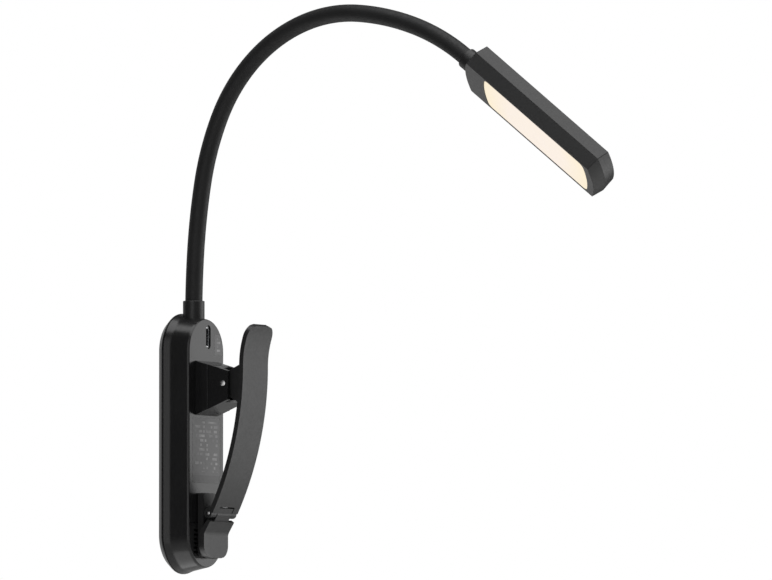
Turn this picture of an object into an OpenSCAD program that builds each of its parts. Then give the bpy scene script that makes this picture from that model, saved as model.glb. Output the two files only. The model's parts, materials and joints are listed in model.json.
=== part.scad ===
// Clip on reading lamp: rechargeable body with a sprung clip, a gooseneck and a flat LED head.
// Frame: origin at the middle of the clip's grip on the body's back face.
// +Z runs up the body, +Y out of the back face (clip side), +X across the clip. Millimetres.

/* [Body] */
// width of the back face
body_w = 29.8; // [25:0.1:36]
// height of the back face
body_h = 114.4; // [95:0.1:135]
// depth of the back half, from back face to seam
rear_depth = 12.4; // [12:0.1:15]
// depth of the front cover, beyond the seam
cover_depth = 4; // [3.8:0.1:6]
// how much wider the seam is than the back face, on each side
body_flare = 2.9; // [1:0.1:4]
// wall of both halves
body_wall = 1.6; // [1.2:0.1:2]
// height of the grip's middle above the body's lower end
grip_height = 11.2; // [9:0.1:16]

/* [Charging socket and labels] */
// drop of the socket's middle from the body's upper end
socket_drop = 8.2; // [7.5:0.1:10]
// offset of the socket across the back face
socket_x = -1.7; // [-2:0.1:2]
// width of the rating label
label_w = 23.6; // [18:0.1:24]
// height of the rating label
label_h = 30; // [24:0.1:34]
// gap between the bracket's foot and the rating label
label_gap = 1.1; // [0.6:0.1:4]

/* [Clip] */
// distance of the hinge pin from the back face
pin_y = 14.5; // [13:0.1:16]
// distance of the hinge pin below the top of the body
pin_drop = 30.2; // [28:0.1:38]
// radius of the hinge pin
pin_r = 1.3; // [1:0.05:1.6]
// width of the bracket's base
bracket_w = 19.2; // [18:0.1:21]
// width of the lever
lever_w = 21.6; // [20:0.1:25]
// thickness of the lever
lever_t = 2.2; // [1.8:0.1:3]
// distance of the lever's outer face from the back face, level with the pin
lever_y = 26.7; // [24.5:0.1:29]
// reach of the lever above the pin
lever_up = 26.6; // [20:0.1:32]
// distance of the jaw's pivot from the back face
jaw_y = 7.6; // [7:0.1:9]
// height of the jaw's pivot above the grip
jaw_z = 13.4; // [12:0.1:15]
// width of the jaw
jaw_w = 20.8; // [18:0.1:22]
// height of the jaw's pad
pad_h = 29.2; // [24:0.1:32]
// width of the jaw's pad
pad_w = 16; // [13:0.1:18]

/* [Gooseneck] */
// radius of the neck's sleeve
neck_r = 4; // [3.4:0.1:4.5]
// radius of the neck's metal core
core_r = 2.25; // [2:0.05:2.5]
// length of each of the neck's links
link_len = 31.2; // [24:0.1:38]
// bend of each link, in degrees, from the body to the head
link_bend = [4, 6, 14, 22.6, 23.8, 25.2, 14.8, 17.8];
// distance of the neck's axis in front of the back face
neck_y = 6.9; // [6.5:0.1:7.5]

/* [Head] */
// length of the head
head_len = 87; // [75:0.5:105]
// width of the head at its mid line
head_w = 27.4; // [24:0.1:32]
// thickness of the head
head_t = 12.9; // [12:0.1:15]
// width of the bevel, in plan
head_bevel = 1.9; // [1.2:0.1:2.6]
// how far each end bows out
head_bow = 2.7; // [2:0.1:5]
// wall of the head's shells
head_wall = 1.5; // [1.2:0.1:2]
// turn of the head about the end of the neck
head_twist = 36.5; // [0:1:60]
// distance of the lens from the neck end of the head
lens_start = 13.2; // [9:0.1:14]
// distance of the lens from the far end of the head
lens_end = 4.9; // [3:0.1:6]

/* [Hidden] */
$fn = 96;
eps = 0.01;
run_gap = 0.05;
fit_gap = 0.1;
body_r = body_w / 2;
mid_h = body_h / 2 - body_r;
body_z = body_h / 2 - grip_height;
body_top = body_z + body_h / 2;
front_y = rear_depth + cover_depth;
pin_z = body_top - pin_drop;
socket_z = body_top - socket_drop;
socket_w = 3.9;
socket_h = 10.9;
port_w = 3.2;
port_h = 9;
label_t = 0.12;
screw_post_r = 3.6;
front_round = 3.4;
grip_low = -7;
grip_high = 9.2;
grip_depth = 0.98;
pad_gap = 0.05;
pad_t = 2.6;
jaw_plate_t = 2.7;
foot_low = -6.9;
foot_bend_z = 4.6;
backing_low = -6.3;
backing_t = 0.9;
tongue_w = 12;
barrel_r = 2.1;
jaw_pin_r = 1;
spring_wire = 0.5;
spring_r = 2.6;
base_half = 13;
block_y = 6.6;
bracket_screw_z = [-9, 7];
ear_w = bracket_w - 0.8;
ear_y = pin_y + 2.8;
cheek_t = 2;
cheek_nose_r = 4.6;
slot_w = ear_w - 4.8;
cheek_out = slot_w / 2 - 0.2;
neck_start = body_top + 0.9;
collar_r = neck_r + 1;
core_foot = socket_z + port_h / 2 + fit_gap;
nut_t = 1.3;
nut_foot = core_foot + 0.3;
nut_r = collar_r - 0.6;
collar_foot = nut_foot + nut_t + fit_gap;
collar_up = 8.6;
joint_gap = 0.75;
ball_r = core_r - 0.05;
cup_r = ball_r + 1;
neck_end_gap = 0.3;
end_arc_r = (pow(head_w / 2, 2) + pow(head_bow, 2)) / (2 * head_bow);
head_x0 = 6;
bevel_end = head_bevel * 0.45;
lens_t = 1.6;
lens_w = (head_w - 2 * head_bevel) * 0.94;

// half-width of the body's outline at depth d from the back face
function side(d) = body_r + body_flare * (0.8 * d / rear_depth + 0.2 * pow(d / rear_depth, 5));

// outline of the back half, as pairs of half-width and depth, drawn in by w
function rear_outline(w, d0, d1, n = 6) =
    [for (i = [0 : n]) let (d = d0 + (d1 - d0) * i / n) [side(d) - w, d]];

// outline of the front cover, as pairs of half-width and depth, drawn in by w
function cover_outline(w) = [
    [side(rear_depth) + 0.05 - w, rear_depth + 0.15],
    [side(rear_depth) - 0.13 * front_round - w, rear_depth + 0.4 * cover_depth],
    [side(rear_depth) - 0.25 * front_round - w, rear_depth + 0.66 * cover_depth],
    [side(rear_depth) - 0.45 * front_round - w * 0.9, rear_depth + 0.87 * cover_depth - w * 0.6],
    [side(rear_depth) - front_round - w * 0.8, front_y - w]
];

// a capsule shape whose half-width follows the outline pts
module capsule(pts) {
    flat = concat([[0, pts[0][1]]], pts, [[0, pts[len(pts) - 1][1]]]);
    for (s = [0, 1])
        translate([0, 0, body_z + (1 - 2 * s) * mid_h]) rotate([0, 180 * s, 0]) rotate([90, 0, 0])
            rotate_extrude(angle = 180) polygon(flat);
    translate([0, 0, body_z]) linear_extrude(2 * mid_h, center = true)
        polygon(concat(
            [for (p = pts) [p[0], -p[1]]],
            [for (i = [len(pts) - 1 : -1 : 0]) [-pts[i][0], -pts[i][1]]]));
}

// a capsule outline of width w and overall height h, in two dimensions
module slot_2d(w, h) {
    square([w, h - w], center = true);
    for (s = [-1, 1]) translate([0, s * (h - w) / 2]) circle(w / 2);
}

// a flat shape stood against the back face at depth d, t thick, reaching into the body
module from_back(d, t) {
    translate([0, -d, 0]) rotate([90, 0, 0]) linear_extrude(t) children();
}

// a profile in Y and Z carried across X by w
module across(w, x0 = 0) {
    translate([x0, 0, 0]) rotate([90, 0, 90]) linear_extrude(w, center = true) children();
}

// a round bar along X
module bar_x(r, w, y, z, x0 = 0) {
    translate([x0, y, z]) rotate([0, 90, 0]) cylinder(r = r, h = w, center = true);
}

// ---------- body ----------

label_z = bracket_low(0) - label_gap - label_h / 2;
screw_z = [label_z - label_h / 2 + 3.4, 1.3];

// hole that the base collar passes through
module collar_hole() {
    translate([0, -neck_y, body_top - 6]) cylinder(r = collar_r + run_gap, h = 8 + body_flare);
}

module rear_shell() {
    color("#1c1c1e") difference() {
        union() {
            difference() {
                capsule(rear_outline(0, 0, rear_depth));
                capsule(concat(
                    rear_outline(body_wall, body_wall + 0.2, rear_depth),
                    [[side(rear_depth) - body_wall, rear_depth + 1]]));
            }
            for (z = screw_z) translate([0, -1, z]) rotate([90, 0, 0]) cylinder(r = screw_post_r, h = 6.8);
        }
        for (z = screw_z) translate([0, 1, z]) rotate([90, 0, 0]) cylinder(r = 1.35, h = 12);
        for (z = screw_z) translate([0, 1, z]) rotate([90, 0, 0]) cylinder(r = 2.5, h = 4.2);
        for (z = bracket_screw_z)
            translate([0, 1, pin_z + z]) rotate([90, 0, 0]) cylinder(r = 1.2, h = 4);
        from_back(-1, 4) translate([socket_x, socket_z]) slot_2d(socket_w + fit_gap, socket_h + fit_gap);
        collar_hole();
        from_back(-1, 1 + grip_depth + 0.02) grip_pad_2d(0);
        from_back(-1, 1 + label_t) rating_label_2d(fit_gap);
        from_back(-1, 1 + label_t) symbol_label_2d(fit_gap);
        from_back(rear_depth - 0.6, 2) translate([0, body_z]) difference() {
            slot_2d(2 * side(rear_depth) + 4, body_h + 2 * body_flare + 4);
            slot_2d(2 * side(rear_depth) - 1, body_h + 2 * body_flare - 1);
        }
    }
}

// outline of the inset grip pad, drawn in by g
module grip_pad_2d(g) {
    intersection() {
        translate([0, body_z]) slot_2d(body_w - 2.2 - 2 * g, body_h - 7.6 - 2 * g);
        translate([-body_w, grip_low + g]) square([2 * body_w, grip_high - grip_low - 2 * g]);
    }
}

// outlines of the two labels, let out by g
module rating_label_2d(g) {
    translate([0, label_z]) square([label_w + 2 * g, label_h + 2 * g], center = true);
}

module symbol_label_2d(g) {
    intersection() {
        translate([-body_r + 4.4, socket_z - 3.4]) square([7.2 + 2 * g, 9.6 + 2 * g], center = true);
        translate([0, body_z]) slot_2d(body_w - 1.4 + 2 * g, body_h - 1.4 + 2 * g);
    }
}

module front_cover() {
    lip = side(rear_depth - 1.6) - body_wall - 0.15;
    color("#3a3a3d") difference() {
        union() {
            difference() {
                capsule(cover_outline(0));
                capsule(concat([[side(rear_depth) - body_wall, rear_depth - 1]], cover_outline(body_wall)));
            }
            from_back(rear_depth - 1.4, cover_depth - body_wall + 1.6) translate([0, body_z]) difference() {
                slot_2d(2 * lip, body_h + 2 * (lip - body_r));
                slot_2d(2 * lip - 2, body_h + 2 * (lip - body_r) - 2);
            }
            for (z = screw_z)
                translate([0, -7.9, z]) rotate([90, 0, 0]) cylinder(r = 2.6, h = front_y - 7.9 - 1);
        }
        for (z = screw_z) translate([0, -7, z]) rotate([90, 0, 0]) cylinder(r = 1.05, h = 7);
        collar_hole();
    }
}

module housing_screws() {
    color("#9a9da1") for (z = screw_z) translate([0, 0, z]) rotate([90, 0, 0]) {
        translate([0, 0, 1.5]) cylinder(r = 2.2, h = 1.7);
        translate([0, 0, 3.1]) cylinder(r = 1.03, h = 9.8);
    }
}

board_h = 22;
board_foot = socket_z + 2.3 - board_h;

module battery_pack() {
    low = screw_z[0] + screw_post_r + 0.8;
    high = board_foot - 0.8;
    color("#6f86a8") translate([0, -8.2, (low + high) / 2])
        cube([body_w - 7.8, 6.4, high - low], center = true);
}

module main_board() {
    color("#1f6b3a") translate([0, -9.6, board_foot + board_h / 2])
        cube([body_w - 8.8, 1.2, board_h], center = true);
}

module touch_electrode() {
    color("#c9a45a") translate([0, -front_y + body_wall + 1.2, 15]) rotate([90, 0, 0])
        cylinder(r = 5.5, h = 1);
}

module socket_insert() {
    color("#232325") translate([socket_x, 0, socket_z]) rotate([90, 0, 0]) translate([0, 0, 0.5])
        linear_extrude(1.4) difference() {
            slot_2d(socket_w, socket_h);
            slot_2d(port_w + fit_gap, port_h + fit_gap);
        }
}

module socket_shell() {
    color("#b9bcc0") translate([socket_x, 0, socket_z]) rotate([90, 0, 0]) {
        translate([0, 0, 0.7]) linear_extrude(8.2) difference() {
            slot_2d(port_w, port_h);
            slot_2d(port_w - 0.6, port_h - 0.6);
        }
        translate([0, 0, 7.9]) linear_extrude(1.1) slot_2d(port_w, port_h);
        translate([0, 0, 1.6]) linear_extrude(6.5) square([0.7, 6.6], center = true);
    }
}

module symbol_label() {
    color("#77777b") from_back(0, label_t) symbol_label_2d(0);
}

module rating_label() {
    color("#6c6c70") from_back(0, label_t) rating_label_2d(0);
}

module body_pad() {
    color("#2a2a2c") from_back(0, grip_depth) grip_pad_2d(fit_gap);
}

// ---------- clip ----------

// height of the bracket's lower and upper edges at a distance y from the back face
function bracket_low(y) = pin_z - base_half - 1.3 + 0.39 * y;
function bracket_high(y) = pin_z + base_half - 2.2 - 0.29 * y;

module bracket_profile(y0, y1) {
    polygon([[y0, bracket_low(y0)], [y1, bracket_low(y1)], [y1, bracket_high(y1)], [y0, bracket_high(y0)]]);
}

module clip_bracket() {
    color("#1d1d1f") difference() {
        union() {
            across(bracket_w) bracket_profile(0, block_y);
            across(ear_w) bracket_profile(block_y - 1, ear_y);
        }
        bar_x(pin_r + 0.02, bracket_w + 2, pin_y, pin_z);
        across(slot_w) polygon([
            [block_y + 1.4, bracket_low(block_y) + 2.6], [pin_y, bracket_low(pin_y) + 1.4],
            [pin_y, bracket_low(pin_y) - 3], [ear_y + 2, bracket_low(pin_y) - 3],
            [ear_y + 2, pin_z + 20], [block_y + 1.4, pin_z + 20]
        ]);
        for (z = bracket_screw_z)
            translate([0, -1, pin_z + z]) rotate([-90, 0, 0]) cylinder(r = 0.9, h = 6);
    }
}

module bracket_screws() {
    color("#9a9da1") for (z = bracket_screw_z)
        translate([0, -body_wall - 0.2, pin_z + z]) rotate([-90, 0, 0]) {
            translate([0, 0, -1.4]) cylinder(r = 2, h = 1.4);
            translate([0, 0, -0.1]) cylinder(r = 0.88, h = 6.4);
        }
}

module hinge_pin() {
    color("#c4c6c9") bar_x(pin_r, ear_w + 0.1, pin_y, pin_z);
}

module torsion_spring() {
    color("#aeb1b5") {
        for (i = [-2 : 2]) translate([i * 1.15, pin_y, pin_z]) rotate([0, 90, 0])
            rotate_extrude() translate([spring_r, 0]) circle(spring_wire, $fn = 24);
        translate([-2.3, block_y + 1.5, pin_z + spring_r]) rotate([-90, 0, 0])
            cylinder(r = spring_wire * 0.9, h = pin_y - block_y - 1.5, $fn = 24);
        translate([2.3, pin_y, pin_z + spring_r]) rotate([-90, 0, 0])
            cylinder(r = spring_wire * 0.9, h = lever_y - lever_t - pin_y - 0.6, $fn = 24);
    }
}

// lower arc of the lever: from level with the pin down to the jaw's pivot
arc_up = 8;
arc_top = pin_z + arc_up;
drop_y = lever_y - (jaw_y + 2.6);
drop_z = arc_top - jaw_z;
lever_arc_r = (pow(drop_y, 2) + pow(drop_z, 2)) / (2 * drop_y);
lever_low = asin(drop_z / lever_arc_r);
flare_r = 42;
flare_a = asin((lever_up - arc_up + 1) / flare_r);

// a ring sector with outer radius r, w wide, from angle a0 to a1
module band_2d(r, w, a0, a1) {
    intersection() {
        difference() {
            circle(r, $fn = 360);
            circle(r - w, $fn = 360);
        }
        polygon([[0, 0], 1.3 * r * [cos(a0), sin(a0)], 1.3 * r * [cos(a1), sin(a1)]]);
    }
}

module lever_profile() {
    translate([lever_y - lever_arc_r, arc_top]) band_2d(lever_arc_r, lever_t, -lever_low, 0);
    translate([lever_y + flare_r, arc_top]) band_2d(flare_r + lever_t, lever_t, 180 - flare_a, 180);
}

module lever_outline() {
    corner_r = 5.5;
    hull() {
        for (s = [-1, 1])
            translate([s * (lever_w / 2 - corner_r), pin_z + lever_up - corner_r]) circle(corner_r);
        translate([-lever_w / 2, jaw_z - 4]) square([lever_w, 1]);
    }
}

module clip_lever() {
    fork_in = tongue_w / 2 + fit_gap;
    fork_out = lever_w / 2;
    color("#29292b") difference() {
        union() {
            intersection() {
                across(lever_w + 2) lever_profile();
                rotate([90, 0, 0]) mirror([0, 0, 1]) linear_extrude(60) lever_outline();
            }
            for (s = [-1, 1]) across(cheek_t, s * (cheek_out - cheek_t / 2)) hull() {
                translate([pin_y, pin_z]) circle(cheek_nose_r, $fn = 64);
                translate([lever_y - lever_t - 0.2, pin_z - 10]) square([0.6, 19.6]);
            }
            for (s = [-1, 1])
                across(fork_out - fork_in, s * (fork_in + fork_out) / 2) hull() {
                    translate([jaw_y, jaw_z]) circle(barrel_r, $fn = 48);
                    translate([jaw_y + 0.6, jaw_z + 0.2]) circle(barrel_r - 0.1, $fn = 48);
                }
        }
        bar_x(pin_r + run_gap, lever_w + 4, pin_y, pin_z);
        bar_x(jaw_pin_r + 0.02, lever_w + 4, jaw_y, jaw_z);
        translate([0, jaw_y, jaw_z - 2.6]) cube([2 * fork_in, 12, 11], center = true);
        translate([0, jaw_y + 1.4, jaw_z - 4.7]) cube([lever_w + 2, 12, 4.6], center = true);
    }
}

module jaw_pin() {
    color("#c4c6c9") bar_x(jaw_pin_r, lever_w - 0.8, jaw_y, jaw_z);
}

module jaw_foot() {
    y0 = pad_gap + pad_t;
    y1 = y0 + jaw_plate_t;
    corner_r = 6;
    color("#2b2b2d") difference() {
        union() {
            across(tongue_w - 0.2) hull() {
                translate([jaw_y, jaw_z]) circle(barrel_r + 0.2, $fn = 48);
                translate([jaw_y + 2.9, jaw_z + 1.9]) circle(0.6, $fn = 24);
                translate([y0 + 0.1, foot_bend_z - 0.8]) square([jaw_plate_t - 0.2, 1]);
            }
            intersection() {
                across(jaw_w) polygon([
                    [y0, foot_low], [y1, foot_low], [y1, foot_bend_z], [jaw_y + 1.3, jaw_z - 3.3],
                    [jaw_y - 0.6, jaw_z - 3.3], [y0 + 0.2, foot_bend_z + 0.2], [y0, foot_bend_z - 0.2]
                ]);
                rotate([90, 0, 0]) mirror([0, 0, 1]) linear_extrude(30) hull() {
                    for (s = [-1, 1])
                        translate([s * (jaw_w / 2 - corner_r), foot_low + corner_r]) circle(corner_r);
                    translate([-jaw_w / 2, 11]) square([jaw_w, 1]);
                }
            }
            translate([0, y0 + backing_t / 2, pad_h / 2 + backing_low])
                cube([pad_w, backing_t, pad_h], center = true);
        }
        bar_x(jaw_pin_r + run_gap, lever_w, jaw_y, jaw_z);
    }
}

module jaw_pad() {
    color("#1b1b1c") translate([0, pad_gap + pad_t / 2, pad_h / 2 + backing_low])
        cube([pad_w, pad_t, pad_h], center = true);
}

// ---------- gooseneck ----------

// sum of the first n bends, and the point in Y and Z where link n + 1 starts
function heading(n) = n == 0 ? 0 : heading(n - 1) + link_bend[n - 1];
function link_end(p, a, t) = let (r = link_len / t * 180 / PI)
    p + r * [cos(a) - cos(a + t), sin(a + t) - sin(a)];
function link_start(n) = n == 0 ? [-neck_y, neck_start] :
    link_end(link_start(n - 1), heading(n - 1), link_bend[n - 1]);

// places children at the start of link n + 1, with Z along the neck and X towards the bend
module at_link(n) {
    p = link_start(n);
    translate([0, p[0], p[1]]) rotate([0, heading(n), 90]) children();
}

// a curved tube along link i, from s0 to s1 along its length
module bent_tube(i, r_out, r_in, s0, s1) {
    bend_r = link_len / link_bend[i] * 180 / PI;
    a0 = s0 / link_len * link_bend[i];
    a1 = s1 / link_len * link_bend[i];
    translate([bend_r, 0, 0]) rotate([90, 0, 180]) rotate([0, 0, a0]) rotate_extrude(angle = a1 - a0)
        translate([bend_r, 0]) difference() {
            circle(r_out, $fn = 48);
            if (r_in > 0) circle(r_in, $fn = 48);
        }
}

// places children on link i's centre line, s along it, with Z along the neck
module on_link(i, s) {
    bend_r = link_len / link_bend[i] * 180 / PI;
    a = s / link_len * link_bend[i];
    translate([bend_r * (1 - cos(a)), 0, bend_r * sin(a)]) rotate([0, a, 0]) children();
}

module core(i) {
    first = i == 0;
    last = i == len(link_bend) - 1;
    color("#8d9094") at_link(i) difference() {
        union() {
            bent_tube(i, core_r - (last ? 0.04 : 0), 0, first ? 0 : 3.4, last ? link_len : link_len - 2.6);
            if (first) translate([0, 0, core_foot - neck_start])
                cylinder(r = core_r, h = neck_start - core_foot);
            if (!first) on_link(i, 0.3) cylinder(r = cup_r, h = 3.4);
            if (!last) on_link(i, link_len - 2.8) cylinder(r = 1.3, h = 2.8);
            if (!last) on_link(i, link_len) sphere(ball_r, $fn = 48);
            if (last) on_link(i, link_len) translate([0, 0, -1]) cylinder(r = core_r, h = head_x0 + 7);
        }
        if (!first) sphere(ball_r + run_gap, $fn = 48);
    }
}

module sleeve(i) {
    first = i == 0;
    last = i == len(link_bend) - 1;
    color("#151516") at_link(i) difference() {
        bent_tube(i, neck_r, core_r + run_gap, first ? 0 : joint_gap, last ? link_len : link_len - joint_gap);
        if (!first) on_link(i, -1) cylinder(r = cup_r + run_gap, h = 4.8);
    }
}

module neck_core_1() { core(0); }
module neck_core_2() { core(1); }
module neck_core_3() { core(2); }
module neck_core_4() { core(3); }
module neck_core_5() { core(4); }
module neck_core_6() { core(5); }
module neck_core_7() { core(6); }
module neck_core_8() { core(7); }
module neck_sleeve_1() { sleeve(0); }
module neck_sleeve_2() { sleeve(1); }
module neck_sleeve_3() { sleeve(2); }
module neck_sleeve_4() { sleeve(3); }
module neck_sleeve_5() { sleeve(4); }
module neck_sleeve_6() { sleeve(5); }
module neck_sleeve_7() { sleeve(6); }
module neck_sleeve_8() { sleeve(7); }

module base_collar() {
    h = body_top + collar_up - collar_foot;
    color("#2a2a2c") translate([0, -neck_y, collar_foot]) difference() {
        union() {
            cylinder(r = collar_r, h = h - 0.6);
            translate([0, 0, h - 0.6]) cylinder(r1 = collar_r, r2 = collar_r - 0.5, h = 0.6);
        }
        translate([0, 0, -1]) cylinder(r = core_r + run_gap, h = 20);
        translate([0, 0, neck_start - collar_foot - eps]) cylinder(r = neck_r + fit_gap, h = 12);
    }
}

module neck_nut() {
    color("#8d9094") translate([0, -neck_y, nut_foot]) difference() {
        cylinder(r = nut_r, h = nut_t);
        translate([0, 0, -1]) cylinder(r = core_r + 0.02, h = 4);
    }
}

// ---------- head ----------

// places children at the neck's end, with X along the head and Z out of its upper face
module at_head() {
    n = len(link_bend);
    p = link_start(n);
    translate([0, p[0], p[1]]) rotate([-head_twist, heading(n) - 90, 90]) children();
}

// the head's outer form, drawn in by w all round
module head_form(w) {
    hw = head_w / 2 - w;
    ht = head_t / 2 - w * 0.9;
    ra = end_arc_r - w;
    intersection() {
        translate([head_x0 - 5, 0, 0]) rotate([90, 0, 90]) linear_extrude(head_len + 10)
            polygon([
                [hw, 0], [hw - head_bevel, ht], [-hw + head_bevel, ht],
                [-hw, 0], [-hw + head_bevel, -ht], [hw - head_bevel, -ht]
            ]);
        union() {
            for (x = [head_x0 + end_arc_r, head_x0 + head_len - end_arc_r]) translate([x, 0, 0])
                rotate_extrude() polygon([[0, ht + 1], [ra - bevel_end * (ht + 1) / ht, ht + 1],
                    [ra, 0], [ra - bevel_end * (ht + 1) / ht, -ht - 1], [0, -ht - 1]]);
        }
    }
}

// all that lies beyond a bowed end at x, on the side s of it
module past_end_2d(x, s) {
    translate([x + s * end_arc_r, 0]) circle(end_arc_r, $fn = 180);
    translate([x + s * (end_arc_r + head_len), 0]) square([2 * head_len, 2 * end_arc_r], center = true);
}

// plan outline of the lens, drawn in by w
module lens_2d(w) {
    intersection() {
        translate([0, -lens_w / 2 + w]) square([head_len + 20, lens_w - 2 * w]);
        past_end_2d(head_x0 + lens_start + w, 1);
        past_end_2d(head_x0 + head_len - lens_end - w, -1);
    }
}

module half_space(up) {
    translate([head_x0 - 10, -50, up ? 0.04 : -50.04]) cube([head_len + 30, 100, 50]);
}

head_posts = [head_x0 + lens_start + 5, head_x0 + head_len - lens_end - 4.8];
tray_z = -head_t / 2 + 0.2 + lens_t;
tray_t = 2.6;

module head_top() {
    color("#4a4a4d") at_head() difference() {
        union() {
            intersection() {
                difference() {
                    head_form(0);
                    head_form(head_wall);
                }
                half_space(true);
            }
            for (x = head_posts) translate([x, 0, tray_z + tray_t + run_gap])
                cylinder(r = 2.2, h = head_t - head_wall - tray_t - lens_t);
        }
        for (x = head_posts) translate([x, 0, tray_z]) cylinder(r = 0.92, h = head_t / 2 + 1);
        rotate([0, 90, 0]) cylinder(r = collar_r + run_gap, h = head_x0 + 5);
    }
}

module head_frame() {
    color("#1a1a1b") at_head() difference() {
        intersection() {
            difference() {
                head_form(0);
                head_form(head_wall);
            }
            half_space(false);
        }
        translate([0, 0, -head_t]) linear_extrude(head_t - 2) lens_2d(0);
        rotate([0, 90, 0]) cylinder(r = collar_r + run_gap, h = head_x0 + 5);
    }
}

module lens() {
    color("#f4efe2") at_head() translate([0, 0, -head_t / 2 + 0.15]) linear_extrude(lens_t) lens_2d(fit_gap);
}

module led_tray() {
    color("#e9e9e6") at_head() translate([0, 0, tray_z]) difference() {
        linear_extrude(tray_t) lens_2d(0.6);
        translate([0, 0, -1]) linear_extrude(tray_t + 0.2) lens_2d(1.6);
        for (x = head_posts) translate([x, 0, 0]) cylinder(r = 1.1, h = 5);
    }
}

led_x0 = head_posts[0] + 6;
led_x1 = head_posts[1] - 6;

module led_board() {
    color("#e8ebe6") at_head() translate([(led_x0 + led_x1) / 2, 0, tray_z + 1.35])
        cube([led_x1 - led_x0 + 6, lens_w - 5, 0.8], center = true);
}

module led_chips() {
    color("#f2d98a") at_head() for (i = [0 : 6]) for (s = [-1, 1])
        translate([led_x0 + (led_x1 - led_x0) * i / 6, s * lens_w / 4, tray_z + 0.6])
            cube([3.5, 2.8, 0.66], center = true);
}

module head_screws() {
    color("#9a9da1") at_head() for (x = head_posts)
        translate([x, 0, tray_z + 0.6]) {
            cylinder(r = 1.8, h = 1.15);
            cylinder(r = 0.9, h = 6.4);
        }
}

module head_collar() {
    color("#2a2a2c") at_head() rotate([0, 90, 0]) translate([0, 0, neck_end_gap]) difference() {
        cylinder(r = collar_r, h = head_x0 + 2.6);
        translate([0, 0, -1]) cylinder(r = core_r + run_gap, h = 20);
    }
}

module head_lock_ring() {
    start = neck_end_gap + head_x0 + 2.8;
    color("#8d9094") at_head() translate([start, 0, 0]) rotate([0, 90, 0]) difference() {
        cylinder(r = collar_r - 1.2, h = 1.4);
        translate([0, 0, -1]) cylinder(r = core_r + 0.02, h = 4);
    }
}

rear_shell();
front_cover();
housing_screws();
battery_pack();
main_board();
touch_electrode();
socket_insert();
socket_shell();
symbol_label();
rating_label();
body_pad();
clip_bracket();
bracket_screws();
hinge_pin();
torsion_spring();
clip_lever();
jaw_pin();
jaw_foot();
jaw_pad();
base_collar();
neck_nut();
neck_core_1();
neck_core_2();
neck_core_3();
neck_core_4();
neck_core_5();
neck_core_6();
neck_core_7();
neck_core_8();
neck_sleeve_1();
neck_sleeve_2();
neck_sleeve_3();
neck_sleeve_4();
neck_sleeve_5();
neck_sleeve_6();
neck_sleeve_7();
neck_sleeve_8();
head_collar();
head_lock_ring();
head_top();
head_frame();
lens();
led_tray();
led_board();
led_chips();
head_screws();
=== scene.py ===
"""Clip on reading lamp: its finished surfaces and materials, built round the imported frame."""

import json
import logging
import math
from collections.abc import Callable, Sequence
from dataclasses import dataclass, field
from enum import Enum

import bpy
import numpy as np
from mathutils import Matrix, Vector


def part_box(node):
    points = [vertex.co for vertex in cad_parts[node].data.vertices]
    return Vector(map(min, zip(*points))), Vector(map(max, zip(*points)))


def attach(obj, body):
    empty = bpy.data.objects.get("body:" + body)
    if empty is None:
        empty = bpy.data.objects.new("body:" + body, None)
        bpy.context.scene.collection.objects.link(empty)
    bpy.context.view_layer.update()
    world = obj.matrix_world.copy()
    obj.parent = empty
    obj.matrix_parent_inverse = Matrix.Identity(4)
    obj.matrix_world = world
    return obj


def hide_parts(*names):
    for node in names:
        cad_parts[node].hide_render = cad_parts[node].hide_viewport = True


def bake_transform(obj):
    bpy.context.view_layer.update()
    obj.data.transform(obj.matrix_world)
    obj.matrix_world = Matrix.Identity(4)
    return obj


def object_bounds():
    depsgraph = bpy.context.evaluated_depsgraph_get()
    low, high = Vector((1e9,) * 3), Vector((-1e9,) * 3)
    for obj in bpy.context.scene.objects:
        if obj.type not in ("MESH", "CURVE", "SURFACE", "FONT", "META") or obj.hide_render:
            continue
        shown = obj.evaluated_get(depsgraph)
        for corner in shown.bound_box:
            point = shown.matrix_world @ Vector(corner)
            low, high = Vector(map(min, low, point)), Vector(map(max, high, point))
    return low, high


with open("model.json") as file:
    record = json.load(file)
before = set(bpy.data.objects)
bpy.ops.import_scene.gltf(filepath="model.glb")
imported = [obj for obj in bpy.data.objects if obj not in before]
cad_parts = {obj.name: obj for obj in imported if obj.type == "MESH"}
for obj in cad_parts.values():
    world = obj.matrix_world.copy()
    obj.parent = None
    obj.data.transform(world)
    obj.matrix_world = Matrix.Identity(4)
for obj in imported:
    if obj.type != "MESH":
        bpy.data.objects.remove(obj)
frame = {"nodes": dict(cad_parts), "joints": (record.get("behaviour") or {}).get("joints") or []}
CAD_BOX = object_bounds()

LOG = logging.getLogger("reading_lamp")
MM = 0.001
FIT = 0.05  # clearance in millimetres round a piece that sits in a hole
SHARP_ANGLE = math.radians(34)  # creases steeper than this stay sharp, or are rounded
NEARLY_STRAIGHT = 4000.0  # radius in millimetres of an end that looks straight
END_POINTS, CORNER_POINTS = 17, 9
Array = np.ndarray


# ---------- surfaces ----------

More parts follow.
